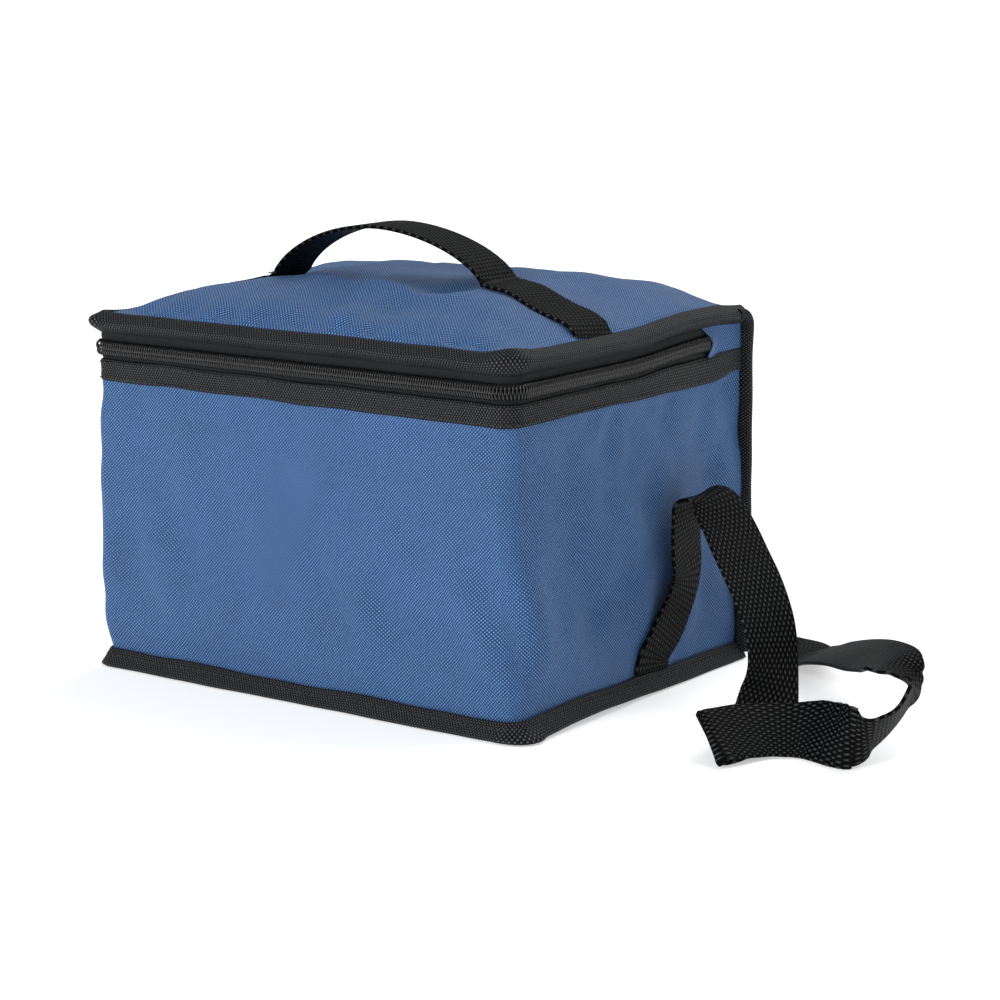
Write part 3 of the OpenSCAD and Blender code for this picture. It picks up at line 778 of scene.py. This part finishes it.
def make_base():
    d, x, y, nx, ny = outline(420)
    section = spline([[0.2, 0.35], [2.5, 0.3], [4.8, 0.35], [5.5, 1.1], [4.9, 2.3], [3.2, 4.6],
                      [1.5, 7.0], [0.6, 7.9], [-0.2, 7.6]], 22) * MM
    run = distance(section)
    D = np.broadcast_to(d[:, None], (len(d), len(section)))
    wavy = foot_wave(D, 0 * D)
    lift = ease(section[:, 1], 0, 4 * MM)[None, :]
    O = section[None, :, 0] * (1 + 0.07 * wavy)
    Z = section[None, :, 1] + lift * 0.5 * MM * foot_wave(D, 0 * D + 0.05)
    near = bell(d, S_NEAR, 5.5 * MM)[:, None]
    O = O + near * 2.9 * MM * ease(-section[:, 1], -5 * MM, 0)[None, :]
    P = slump(stacked(x[:, None] + nx[:, None] * O, y[:, None] + ny[:, None] * O, Z))
    P[..., 2] = np.maximum(P[..., 2], 0.1 * MM)
    W = stacked(D, run[None, :])
    fasten(shell("base_tape", P, W, BINDING, TAPE_THICK, -1), "bag", "binding", "base_binding")

    out = stacked(nx, ny, 0 * nx)
    at = np.interp(np.arange(0, d[-1], STITCH_STEP), d, np.arange(len(d)))
    k = at.astype(int)
    row = 15
    along = np.gradient(P[:, row], axis=0)
    along /= np.linalg.norm(along, axis=1, keepdims=True)
    up = out * 0.75 + np.array([0, 0, 0.66])
    frac = (at - k)[:, None]
    centre = P[k, row] * (1 - frac) + P[np.minimum(k + 1, len(d) - 1), row] * frac
    fasten(stitches("base_stitches", centre, up[k], along[k], 2.3 * MM, THREAD_RADIUS), "bag", "binding")

    x = np.linspace(-HX + 0.5 * MM, HX - 0.5 * MM, 60)
    y = np.linspace(-HY + 0.5 * MM, HY - 0.5 * MM, 50)
    X, Y = grid(x, y)
    X, Y = plan(X, Y, HX, HY, BEND1, BEND2)
    Z = 0.9 * MM + 0.35 * MM * (0.5 + 0.5 * back_drape(X, Y))
    P = slump(stacked(X, Y, Z))
    fasten(shell("base_cloth", P, stacked(X, Y), BLUE, 0.5 * MM, 1),
           "bag", "blue_cloth", "base_panel")


def make_back_bindings():
    """Folded tape down each back corner; its top bends forward into the lid's rim."""
    outline_pts = spline([[-1.0, 0.2], [-0.6, 1.4], [1.4, 3.4], [3.0, 3.9], [4.2, 2.9], [4.6, 1.2],
                          [3.8, -0.5], [0.6, -1.6], [-0.6, -1.5]], 20) * MM
    run = distance(outline_pts)
    straight = SEAM - 0.5 * MM
    radius = 4.2 * MM
    step = 0.5 * MM
    rise = np.arange(3 * MM, straight, step)
    bend = np.linspace(0, PI / 2, 22)
    for side, label in ((-1, "left"), (1, "right")):
        y = np.concatenate([np.full(len(rise), 0.0), -radius + radius * np.cos(bend)])
        z = np.concatenate([rise, straight + radius * np.sin(bend)])
        turn = np.concatenate([np.zeros(len(rise)), bend])
        y = np.concatenate([y, [-radius - 3 * MM]])
        z = np.concatenate([z, [straight + radius]])
        turn = np.concatenate([turn, [PI / 2]])
        length = np.concatenate([[0], np.cumsum(np.hypot(np.diff(y), np.diff(z)))])
        rib = np.where(np.arange(len(z)) % 2 == 0, 1, -1) * 0.09 * MM
        lean = foot_wave(length, 0 * length + side) * 0.35 * MM
        p, q = outline_pts[:, 0], outline_pts[:, 1]
        grow = 1 + rib[:, None] / (3.5 * MM)
        X = side * (HX + 0.1 * MM + p[None, :] * grow + lean[:, None])
        Y = HY + y[:, None] + q[None, :] * grow * np.cos(turn)[:, None]
        Z = z[:, None] + q[None, :] * grow * np.sin(turn)[:, None]
        P = slump(stacked(X, Y, Z))
        W = stacked(run[None, :], length[:, None])[..., ::-1]
        obj = shell(label + "_back_tape", P, W, BINDING, TAPE_THICK, -side)
        bridge(obj, "bag", "lid", (0, HY, SEAM - 1.5 * MM), (0, HY - 1 * MM, SEAM + 3 * MM),
               "binding", label + "_back_binding")


def make_hinge():
    """Tape folded over the seam along the top of the back, and the cloth that bends there."""
    x = np.linspace(-HX + 1.5 * MM, HX - 1.5 * MM, 200)
    section = spline([[-0.3, -9.0], [1.2, -8.8], [2.6, -7.6], [3.2, -5.8], [2.6, -3.6], [1.2, -2.2],
                      [0.2, -1.8]], 16) * MM
    run = distance(section)
    X = np.broadcast_to(x[:, None], (len(x), len(section)))
    Y = HY + section[None, :, 0] * (1 + 0.06 * foot_wave(X, 0 * X + 0.3))
    Z = SEAM + section[None, :, 1] + 0.25 * MM * foot_wave(X, 0 * X + 0.7)
    P = slump(stacked(X, Y, Z))
    W = stacked(X, run[None, :])
    fasten(shell("hinge_tape", P, W, BINDING, TAPE_THICK, 1), "bag", "binding", "hinge_binding")

    bend = spline([[-0.6, -3.0], [0.3, -1.0], [0.0, 1.2], [-1.3, 3.6], [-3.4, 6.2]], 14) * MM
    X = np.broadcast_to(x[:, None], (len(x), len(bend)))
    P = slump(stacked(X, HY + bend[None, :, 0], SEAM + bend[None, :, 1]))
    W = stacked(X, bend[None, :, 1])
    obj = shell("hinge_cloth", P, W, BLUE, 0.5 * MM, 1)
    bridge(obj, "bag", "lid", (0, HY, SEAM - 0.8 * MM), (0, HY, SEAM + 1.6 * MM), "blue_cloth")

    lining = spline([[-6.0, -7.0], [-5.6, -3.0], [-5.4, 0.0], [-5.8, 3.0], [-6.8, 5.6]], 12) * MM
    x = np.linspace(-HX + 5.6 * MM, HX - 5.6 * MM, 90)
    X = np.broadcast_to(x[:, None], (len(x), len(lining)))
    P = slump(stacked(X, HY + lining[None, :, 0], SEAM + lining[None, :, 1]))
    W = stacked(X, lining[None, :, 1])
    obj = shell("hinge_lining", P, W, FOIL, 0.3 * MM, -1)
    bridge(obj, "bag", "lid", (0, HY, SEAM - 3 * MM), (0, HY, SEAM + 4 * MM), "foil")


# ------------------------------------------------------------------ zip
tape_wave = Ripple(41, 20 * MM, 70 * MM, 10)


def make_band():
    s = np.linspace(1.2 * MM, RING - 1.2 * MM, 420)
    low, high = band_lo.z / MM, band_hi.z / MM
    section = spline([[-0.2, low + 0.4], [0.5, low], [1.05, low + 0.5], [1.15, low + 2.5],
                      [1.0, (low + high) / 2], [1.15, high - 2.4], [1.1, high - 0.6],
                      [0.5, high], [-0.3, high - 0.3]], 20) * MM

    def wave(S, Z):
        return 0.18 * MM * tape_wave(S, 0 * S), 0.28 * MM * tape_wave(S, 0 * S + 1.0)

    P, W = strip(s, section, wave)
    fasten(shell("zip_band_tape", P, W, BINDING, TAPE_THICK, -1), "bag", "binding", "zip_band_binding")
    for name, z in (("band_stitches_low", low + 1.3), ("band_stitches_high", high - 1.2)):
        fasten(stitch_row(name, 4 * MM, RING - 4 * MM, 1.2 * MM, z * MM), "bag", "binding")


S_ZIP = HY - ZIP_END                         # where the zip starts, along the ring


def make_tapes():
    s = np.linspace(S_ZIP - 1 * MM, RING - S_ZIP + 1 * MM, 330)
    lower = spline([[-0.5, 133.6], [0.1, 134.6], [0.35, 135.6], [0.2, 136.8], [0.3, 138.4]], 10) * MM
    upper = spline([[0.3, 140.0], [0.2, 141.6], [0.45, 143.0], [0.6, 144.6], [0.3, 146.4]], 12) * MM
    for name, section, body, node in (("lower_tape", lower, "bag", "lower_zip_tape"),
                                      ("upper_tape", upper, "lid", "upper_zip_tape")):
        P, W = strip(s, section, lambda S, Z: (0.15 * MM * tape_wave(S, Z * 8), 0 * Z))
        fasten(shell(name, P, W, TAPE, 0.35 * MM, -1), body, "zip_tape", node)


TOOTH = 1.2 * MM


def make_coil():
    """Each turn of the nylon coil is one bent thread; the two rows interlock."""
    count = int((RING - 2 * S_ZIP) / TOOTH)
    upper = spline([[0.1, 3.15], [1.3, 2.95], [2.15, 2.2], [2.5, 1.1], [2.45, 0.0], [2.0, -0.75],
                    [1.3, -1.0]], 10)
    lower = spline([[0.1, -3.15], [1.3, -2.95], [2.1, -2.25], [2.35, -1.2], [2.2, -0.2],
                    [1.7, 0.5], [1.1, 0.8]], 10)
    slant = np.linspace(0.45, -0.35, 10)
    for name, turn, shift, body, node in (("upper_coil", upper, 0.0, "lid", "upper_zip_coil"),
                                          ("lower_coil", lower, 0.5, "bag", "lower_zip_coil")):
        s = S_ZIP + (np.arange(count) + 0.5 + shift) * TOOTH
        S = s[:, None] + slant[None, :] * MM * 0.9
        x, y, nx, ny = ring(S)
        out = turn[None, :, 0] * MM
        paths = slump(stacked(x + nx * out, y + ny * out, ZIP_MID + turn[None, :, 1] * MM))
        fasten(capsules(name, paths, 0.36 * MM, COIL, 7), body, "zip_coil", node)


def make_end_tabs():
    """Blue cloth sewn over each end of the zip, as far back as the corner."""
    v = np.linspace(0, 1, 26)
    for side, label in ((-1, "left"), (1, "right")):
        z = 133.9 * MM + v * 14.2 * MM
        edge = (ZIP_END - 0.8 * MM - 5.0 * MM * ease(z, 0.140, 0.148)
                - 0.9 * MM * ease(-z, -0.138, -0.134))
        u = np.linspace(0, 1, 44)
        U, V = grid(u, v)
        Y = edge[None, :] + (HY - 0.3 * MM - edge[None, :]) * U
        Z = np.broadcast_to(z, Y.shape)
        over = 2.9 * MM * (1 - ease(U, 0.02, 0.34)) * bell(Z, ZIP_MID, 4.6 * MM) ** 0.8
        X = HX + 0.35 * MM + over + 0.25 * MM * crumple(Y, Z)
        P = slump(stacked(side * X, Y, Z))
        obj = shell(label + "_end_tab", P, stacked(Y, Z), BLUE, 0.45 * MM, -side)
        bridge(obj, "bag", "lid", (0, HY, 136.5 * MM), (0, HY, 147 * MM), "blue_cloth",
               label + "_zip_end_tab")


# ------------------------------------------------------------------ lid
rim_wave = Ripple(51, 28 * MM, 100 * MM, 10)
lid_drape = Ripple(52, 30 * MM, 90 * MM, 12)
lid_crumple = Ripple(53, 10 * MM, 26 * MM, 16)
front_puckers = Puckers(54, -100 * MM, 90 * MM, 18 * MM, 5.0 * MM, 36 * MM)
right_puckers = Puckers(55, -80 * MM, 84 * MM, 19 * MM, 2.6 * MM, 24 * MM)
left_puckers = Puckers(56, -80 * MM, 84 * MM, 19 * MM, 2.2 * MM, 22 * MM)
rear_puckers = Puckers(57, -100 * MM, 100 * MM, 18 * MM, 1.2 * MM, 16 * MM)
LID_A, LID_F, LID_B, CREST = HX - 1 * MM, HY - 1 * MM, HY - 4 * MM, 6 * MM
LID_BENDS = 2 * MM, 7 * MM                  # radii of its left and right front corners
# soft fold round the flat top of the lid, as points x, y
FOLD = spline([[-62, -22], [-36, -30], [-10, -38], [15, -42], [36, -48], [50, -46], [50, -24],
               [48, 0], [57, 24], [74, 40]], 90) * MM


def lid_height(X, Y, wrinkle=1.0):
    """Height of the padded lid's cloth."""
    ty = np.where(Y < -CREST, (Y + CREST) / (LID_F - CREST), (Y + CREST) / (LID_B + CREST))
    dome = (np.clip(1 - np.abs(X / LID_A) ** np.where(X < 0, 2.6, 3.9), 0, 1) ** 0.65
            * np.clip(1 - np.abs(ty) ** 3.6, 0, 1) ** 0.65)
    Z = RIM_Z + CROWN * dome                 # the sewn tails press the padding down
    Z = Z - ease(dome, 0, 0.3) * (4.6 * MM * bell(X, -80 * MM, 26 * MM) * bell(Y, -10 * MM, 18 * MM)
                                  + 3.2 * MM * bell(X, 84 * MM, 15 * MM) * bell(Y, -26 * MM, 24 * MM))
    tails = (ease(X, 48 * MM, 52 * MM) + ease(-X, 57 * MM, 61 * MM)) * (1 - ease(
        np.abs(Y - HANDLE_Y + 5 * MM * ease(X, 0.05, 0.1)), 14 * MM, 20 * MM))
    wrinkle = wrinkle * (1 - 0.65 * tails)
    inner = ease(dome, 0.05, 0.5)
    gap = np.sqrt(((stacked(X, Y)[..., None, :] - FOLD) ** 2).sum(-1))
    nearest = gap.argmin(-1)
    far = gap.min(-1)
    ends = ease(nearest, 0, 14) * (1 - ease(nearest, 74, 89))
    fold = 1.7 * MM * np.exp(-(far / (5 * MM)) ** 2) * ends
    middle = -1.0 * MM * bell(X, 18 * MM, 34 * MM) * bell(Y, -22 * MM, 17 * MM)
    slope = -2.4 * MM * bell(X, 22 * MM, 40 * MM) * bell(Y, -61 * MM, 10 * MM)
    dent = -2.6 * MM * np.exp(-(((X - 40 * MM) / (9 * MM)) ** 2 + ((Y + 34 * MM) / (8 * MM)) ** 2))
    soft = 1.0 * MM * lid_drape(X, Y) + 0.2 * MM * lid_crumple(X, Y)
    seams = (front_puckers(X, Y + LID_F) + right_puckers(Y, LID_A - X)
             + left_puckers(Y, LID_A + X) + rear_puckers(X, LID_B - Y))
    return Z + wrinkle * (inner * (fold + middle + slope + dent + soft) + seams * ease(dome, 0, 0.22))


def rim_shift(s):
    """Rise of the rim where its tape is pinched at the two front corners."""
    return 2.0 * MM * bell(s, S_NEAR, 9 * MM) + 0.9 * MM * bell(s, S_LEFT, 7 * MM)


def plan(X, Y, a, f, r1, r2):
    """Draws the front corners of a rectangular grid in to round corners."""
    r = np.where(X < 0, r1, r2)
    dx, dy = np.clip(np.abs(X) - a + r, 0, None), np.clip(-Y - f + r, 0, None)
    k = np.where((dx > 0) & (dy > 0), np.maximum(dx, dy) / np.maximum(np.hypot(dx, dy), 1e-9), 1)
    return (np.where(k < 1, np.sign(X) * (a - r + dx * k), X),
            np.where(k < 1, -(f - r + dy * k), Y))


def spread(n, lo, hi, pull=0.55):
    """n values from lo to hi, closer together near both."""
    t = np.linspace(-1, 1, n)
    return (lo + hi) / 2 + (hi - lo) / 2 * ((1 - pull) * t + pull * np.sin(PI / 2 * t))


def lid_grid(nx, ny):
    return grid(spread(nx, -LID_A, LID_A), spread(ny, -LID_F, LID_B))


def corner_lift(X, Y):
    """Lifts the lid's cloth with the pinched rim at the near corner."""
    return 2.0 * MM * np.exp(-(np.hypot(X - HX, Y + HY) / (13 * MM)) ** 2)


def make_lid():
    X, Y = lid_grid(190, 160)
    Z = lid_height(X, Y) + corner_lift(X, Y)
    PX, PY = plan(X, Y, LID_A, LID_F, *LID_BENDS)
    drop = spline([[LID_B / MM, RIM_Z / MM], [LID_B / MM + 2.2, RIM_Z / MM - 2.6],
                   [HY / MM - 0.5, SEAM / MM + 0.6]], 7)[1:] * MM
    rows = len(drop)
    tail = stacked(PX[:, -1:], drop[None, :, 0], drop[None, :, 1])
    P = np.concatenate([stacked(PX, PY, Z), tail], 1)
    tail_lies = stacked(X[:, -1:], LID_B + np.arange(1, rows + 1)[None, :] * 1.2 * MM)
    W = np.concatenate([stacked(X, Y), tail_lies], 1)
    fasten(shell("lid_cloth", slump(P), W, BLUE, CLOTH_THICK, -1), "lid", "blue_cloth_lid", "lid_panel")


def make_rim():
    s = np.linspace(0.6 * MM, RING - 0.6 * MM, 460)
    section = spline([[-0.6, 145.9], [0.7, 145.9], [2.2, 147.2], [3.6, 148.7], [4.15, 150.0],
                      [3.7, 151.2], [2.0, 152.6], [0.3, 153.9], [-1.0, 154.3], [-1.8, 153.6]], 26) * MM
    corners = np.array([S_LEFT, S_NEAR])

    def wave(S, Z):
        ridge = ease(Z, 0.1458, 0.149) * (1 - ease(Z, 0.1515, 0.154))
        ear = bell(S, S_LEFT, 5 * MM) * 2.2 * MM - bell(S, S_NEAR, 3.5 * MM) * 1.0 * MM
        out = ridge * (0.45 * MM * rim_wave(S, 0 * S) + ear)
        return out, rim_shift(S) * ease(Z, 0.146, 0.152) + 0.35 * MM * rim_wave(S, 0 * S + 0.5)

    P, W = strip(s, section, wave)
    fasten(shell("rim_tape", P, W, BINDING, TAPE_THICK, -1), "lid", "binding", "lid_binding")


def make_handle():
    """Webbing arch in two halves that meet at its top. Each bends from its sewn foot on the
    lid to the free loop."""
    left, right = -60 * MM, 51 * MM
    top = (left + right) / 2
    half = (right - left) / 2
    lie = 0.4 * MM

    def on_lid(x, y):
        return lid_height(np.asarray(x, float), np.asarray(y, float))

    foot_l, foot_r = float(on_lid(left, HANDLE_Y)) + lie, float(on_lid(right, HANDLE_Y)) + lie

    def arch(x):
        foot = foot_l + (foot_r - foot_l) * (x - left) / (2 * half)
        bow = np.clip(1 - np.abs((x - top) / half) ** 1.85, 0, 1) ** 0.65
        return foot + (HANDLE_TOP + 0.2 * MM - foot) * bow

    for side, label, foot_x, skew in ((-1, "left", left, 0.0), (1, "right", right, -10 * MM)):
        x = top + side * half * np.sin(np.linspace(0, PI / 2, 220))
        up = stacked(x, 0 * x + HANDLE_Y, arch(x))
        end = side * (LID_A - 0.4 * MM)
        x = np.linspace(foot_x, end, 60)[1:]
        share = (x - foot_x) / (end - foot_x)
        flat_y = HANDLE_Y + skew * share
        lift = lie + WEB_THICK / 2
        flat = stacked(x, flat_y, on_lid(x, flat_y) + lift - 1.6 * MM * ease(share, 0.93, 1))
        line = np.vstack([up, flat])
        keep = np.concatenate([[True], np.linalg.norm(np.diff(line, axis=0), axis=1) > 0.15 * MM])
        line = spline(np.vstack([line[keep][:-3:3], line[-1:]]), 260)
        run = distance(line)
        rows = int(run[-1] / STRAP_PICK)
        at = np.linspace(0, run[-1], rows)
        line = np.stack([np.interp(at, run, line[:, k]) for k in range(3)], -1)
        width = np.tile([0.0, 1.0, 0.0], (rows, 1))
        on = ease(side * (line[:, 0] - foot_x), -1 * MM, 6 * MM)
        x, y, reach = line[:, 0], line[:, 1], 10 * MM
        slope = (on_lid(x, y + reach) - on_lid(x, y - reach)) / (20 * MM)
        width[:, 2] = slope * on
        obj = ribbon("handle_" + label + "_half", slump(line), width, at)
        start = (foot_x - side * 0.5 * MM, HANDLE_Y, foot_l)
        stop = (foot_x - side * 9 * MM, HANDLE_Y, foot_l + 14 * MM)
        bridge(obj, "lid", "handle", start, stop, "webbing",
               *(["handle_left_tail", "handle_loop"] if side < 0 else ["handle_right_tail"]))
        bars = []
        for step in (1.5, 3.2):
            xs = np.full(9, foot_x + side * step * MM)
            ys = HANDLE_Y + np.linspace(-10.5, 10.5, 9) * MM
            zs = on_lid(xs, ys) + lie + WEB_THICK + 0.02 * MM
            bars.append(stacked(xs, ys, zs))
        bars = slump(np.vstack(bars))
        n = len(bars)
        fasten(stitches("handle_" + label + "_stitches", bars, np.tile([0.0, 0, 1], (n, 1)),
                        np.tile([0.0, 1, 0], (n, 1)), 2.2 * MM, 0.28 * MM), "lid", "webbing")


# ------------------------------------------------------------------ inside: foam and lining
foil_crush = Ripple(61, 6 * MM, 22 * MM, 24)
LINED = -5.0 * MM                            # the lining's face, inward from the wall line


def pad(name, P, thick, inward, node, body="bag"):
    lies = np.zeros(P.shape[:2] + (2,))
    obj = shell(name, P, lies, FOAM, thick, inward)
    soft = obj.modifiers.new("soft_edges", "BEVEL")
    soft.width, soft.segments, soft.limit_method = 0.8 * MM, 2, "ANGLE"
    bake(obj)
    fasten(obj, body, "foam", node)


def make_foams():
    z = np.linspace(7 * MM, WALL - 1.6 * MM, 26)
    for name, s0, s1, node in (("left_pad", 7 * MM, LEG1 - 6 * MM, "left_foam"),
                               ("front_pad", LEG1 + ARC1, TURN - 1 * MM, "front_foam"),
                               ("right_pad", TURN + ARC2, RING - 7 * MM, "right_foam")):
        S, Z = grid(np.linspace(s0, s1, 50), z)
        pad(name, wall(S, Z, -1.1 * MM), 3.3 * MM, -1, node)
    X, Z = grid(np.linspace(-HX + 3 * MM, HX - 3 * MM, 50), np.linspace(7 * MM, SEAM - 8 * MM, 26))
    pad("back_pad", slump(stacked(X, 0 * X + HY - 1.4 * MM, Z)), 3.0 * MM, 1, "back_foam")
    X, Y = grid(np.linspace(-HX + 7 * MM, HX - 7 * MM, 50),
                np.linspace(-HY + 7 * MM, HY - 7 * MM, 40))
    pad("base_pad", slump(stacked(X, Y, 0 * X + 1.7 * MM)), 3.6 * MM, 1, "base_foam")
    X, Y = grid(spread(60, -LID_A + 5 * MM, LID_A - 5 * MM),
                spread(50, -LID_F + 5 * MM, LID_B - 5 * MM))
    PX, PY = plan(X, Y, LID_A - 5 * MM, LID_F - 5 * MM, 2 * MM, 4 * MM)
    pad("lid_pad", slump(stacked(PX, PY, lid_height(X, Y, 0.9) - 1.4 * MM)), 3.6 * MM, -1,
        "lid_foam", "lid")


def make_linings():
    s = np.linspace(5.6 * MM, RING - 5.6 * MM, 260)
    down = np.linspace(WALL - 1.2 * MM, 6.2 * MM, 62)
    S, Z = grid(s, down)
    quiet = ease(down, 6 * MM, 14 * MM) * (1 - ease(down, WALL - 8 * MM, WALL - 1.2 * MM))
    crush = 0.3 * MM * foil_crush(S, Z) * quiet[None, :]
    inner = wall(S, Z, LINED + crush)
    lip = [wall(s, np.full_like(s, WALL - 0.5 * MM), off * MM) for off in (-0.8, -2.4, -4.2)]
    P = np.concatenate([np.stack(lip, 1), inner], 1)
    depth = np.concatenate([[0, 1.6 * MM, 3.4 * MM], 4.5 * MM + (WALL - down)])
    W = stacked(s[:, None], depth[None, :])
    fasten(shell("wall_foil", P, W, FOIL, FOIL_THICK, -1), "bag", "foil", "wall_lining")

    x = np.linspace(-HX + 5.2 * MM, HX - 5.2 * MM, 120)
    z = np.linspace(6.2 * MM, SEAM - 6 * MM, 70)
    X, Z = grid(x, z)
    Y = HY - 5.2 * MM + 0.25 * MM * foil_crush(X, Z)
    fasten(shell("back_foil", slump(stacked(X, Y, Z)), stacked(X, Z), FOIL, FOIL_THICK, -1),
           "bag", "foil", "back_lining")

    y = np.linspace(-HY + 5 * MM, HY - 5.2 * MM, 90)
    X, Y = grid(np.linspace(-HX + 5 * MM, HX - 5 * MM, 120), y)
    PX, PY = plan(X, Y, HX - 5 * MM, HY - 5 * MM, 1 * MM, 4 * MM)
    Z = 6.1 * MM + 0.25 * MM * foil_crush(X, Y)
    fasten(shell("base_foil", slump(stacked(PX, PY, Z)), stacked(X, Y), FOIL, FOIL_THICK, -1),
           "bag", "foil", "base_lining")

    X, Y = lid_grid(130, 110)
    inset = 1.0 * MM
    PX, PY = plan(X, Y, LID_A, LID_F, *LID_BENDS)
    scale_x, scale_y = (LID_A - inset) / LID_A, (LID_F - inset) / LID_F
    under = lid_height(X, Y, 0.8) - 5.6 * MM + 0.3 * MM * foil_crush(X, Y)
    Z = np.maximum(under, 147.6 * MM)
    fasten(shell("lid_foil", slump(stacked(PX * scale_x, PY * scale_y, Z)), stacked(X, Y),
                 FOIL, FOIL_THICK, 1), "lid", "foil", "lid_lining")


# ------------------------------------------------------------------ slider and pull
def solid_from(name, outline_pts, low, high, material, bevel, axes):
    """Flat plate of an outline, between two depths, with rounded edges. axes maps
    (outline x, outline y, depth) to the frame."""
    n = len(outline_pts)
    pts = [axes(a, b, d) for d in (low, high) for a, b in outline_pts]
    faces = [tuple(range(n))[::-1], tuple(range(n, 2 * n))]
    faces += [(i, (i + 1) % n, n + (i + 1) % n, n + i) for i in range(n)]
    obj = add_mesh(name, pts, faces, material)
    mod = obj.modifiers.new("edge", "BEVEL")
    mod.width, mod.segments, mod.limit_method = bevel, 3, "ANGLE"
    mod.angle_limit = math.radians(50)
    bake(obj)
    return obj


def join(objs, name):
    bpy.ops.object.select_all(action="DESELECT")
    for o in objs:
        o.select_set(True)
    bpy.context.view_layer.objects.active = objs[0]
    bpy.ops.object.join()
    objs[0].name = objs[0].data.name = name
    return objs[0]


def make_slider():
    lo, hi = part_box("zip_slider")
    y0, x0 = (lo.y + hi.y) / 2, -HX

    def axes(a, b, d):
        return (x0 - d, y0 + a, ZIP_MID + b)

    def body(k):
        """Half-width of the slider along its length: wide shoulders, narrow tail."""
        return [(6.2 * MM * math.cos(t), k * (3.6 + 0.8 * math.cos(t)) * MM * math.sin(t))
                for t in np.linspace(0, 2 * PI, 28, endpoint=False)]

    front = solid_from("slider_front", body(1.0), 2.7 * MM, 3.6 * MM, METAL, 0.35 * MM, axes)
    back = solid_from("slider_back", body(0.86), -1.9 * MM, -1.2 * MM, METAL, 0.25 * MM, axes)
    wedge = [(3.4 * MM, -0.25 * MM), (6.0 * MM, -0.3 * MM), (6.0 * MM, 0.3 * MM), (3.4 * MM, 0.25 * MM)]
    post = solid_from("slider_post", wedge, -1.5 * MM, 3.0 * MM, METAL, 0.1 * MM, axes)
    arch = spline([[-4.4, 3.3], [-4.3, 5.0], [-3.0, 6.1], [0, 6.3], [3.0, 6.1], [4.3, 5.0],
                   [4.4, 3.3]], 22)
    path = np.array([[x0 - d * MM, y0 + a * MM, ZIP_MID] for a, d in arch])
    bow = capsules("slider_bow", path[None], 0.62 * MM, METAL, 10, 1.2)
    slider = join([front, back, post, bow], "slider_body")
    fasten(slider, "slider", "zip_metal", "zip_slider")

    blade = [(2.3, -1.0), (2.6, -4.0), (2.5, -9.0), (3.2, -14.5), (3.3, -19.5)]
    tip = [(3.3 * math.cos(t), -20.5 - 3.0 * math.sin(t)) for t in np.linspace(0, PI, 13)]
    half = [(a * MM, b * MM) for a, b in blade] + [(a * MM, b * MM) for a, b in tip]
    half += [(-a * MM, b * MM) for a, b in reversed(blade)]
    half += [(-1.6 * MM, 0.9 * MM), (1.6 * MM, 0.9 * MM)]
    plate = solid_from("pull_plate", half[::-1], 5.05 * MM, 6.15 * MM, METAL, 0.3 * MM, axes)
    holes = []
    for cy, r in ((-0.2, 1.0), (-19.0, 1.3)):
        pts = [(r * MM * math.cos(t), (cy + r * math.sin(t)) * MM)
               for t in np.linspace(0, 2 * PI, 18, endpoint=False)]
        holes.append(solid_from("pull_hole", pts, 4.5 * MM, 6.7 * MM, METAL, 0.01 * MM, axes))
    for hole in holes:
        cut = plate.modifiers.new("hole", "BOOLEAN")
        cut.operation, cut.object, cut.solver = "DIFFERENCE", hole, "EXACT"
    bake(plate)
    for hole in holes:
        bpy.data.objects.remove(hole)
    plate.name = plate.data.name = "pull_tab"
    fasten(plate, "pull", "zip_metal", "zip_pull")


# ------------------------------------------------------------------ make everything
make_camera()
make_strap()
make_floor()
make_light()
make_wrap()
make_back()
make_base()
make_back_bindings()
make_hinge()
make_band()
make_tapes()
make_coil()
make_end_tabs()
make_lid()
make_rim()
make_handle()
make_foams()
make_linings()
make_slider()
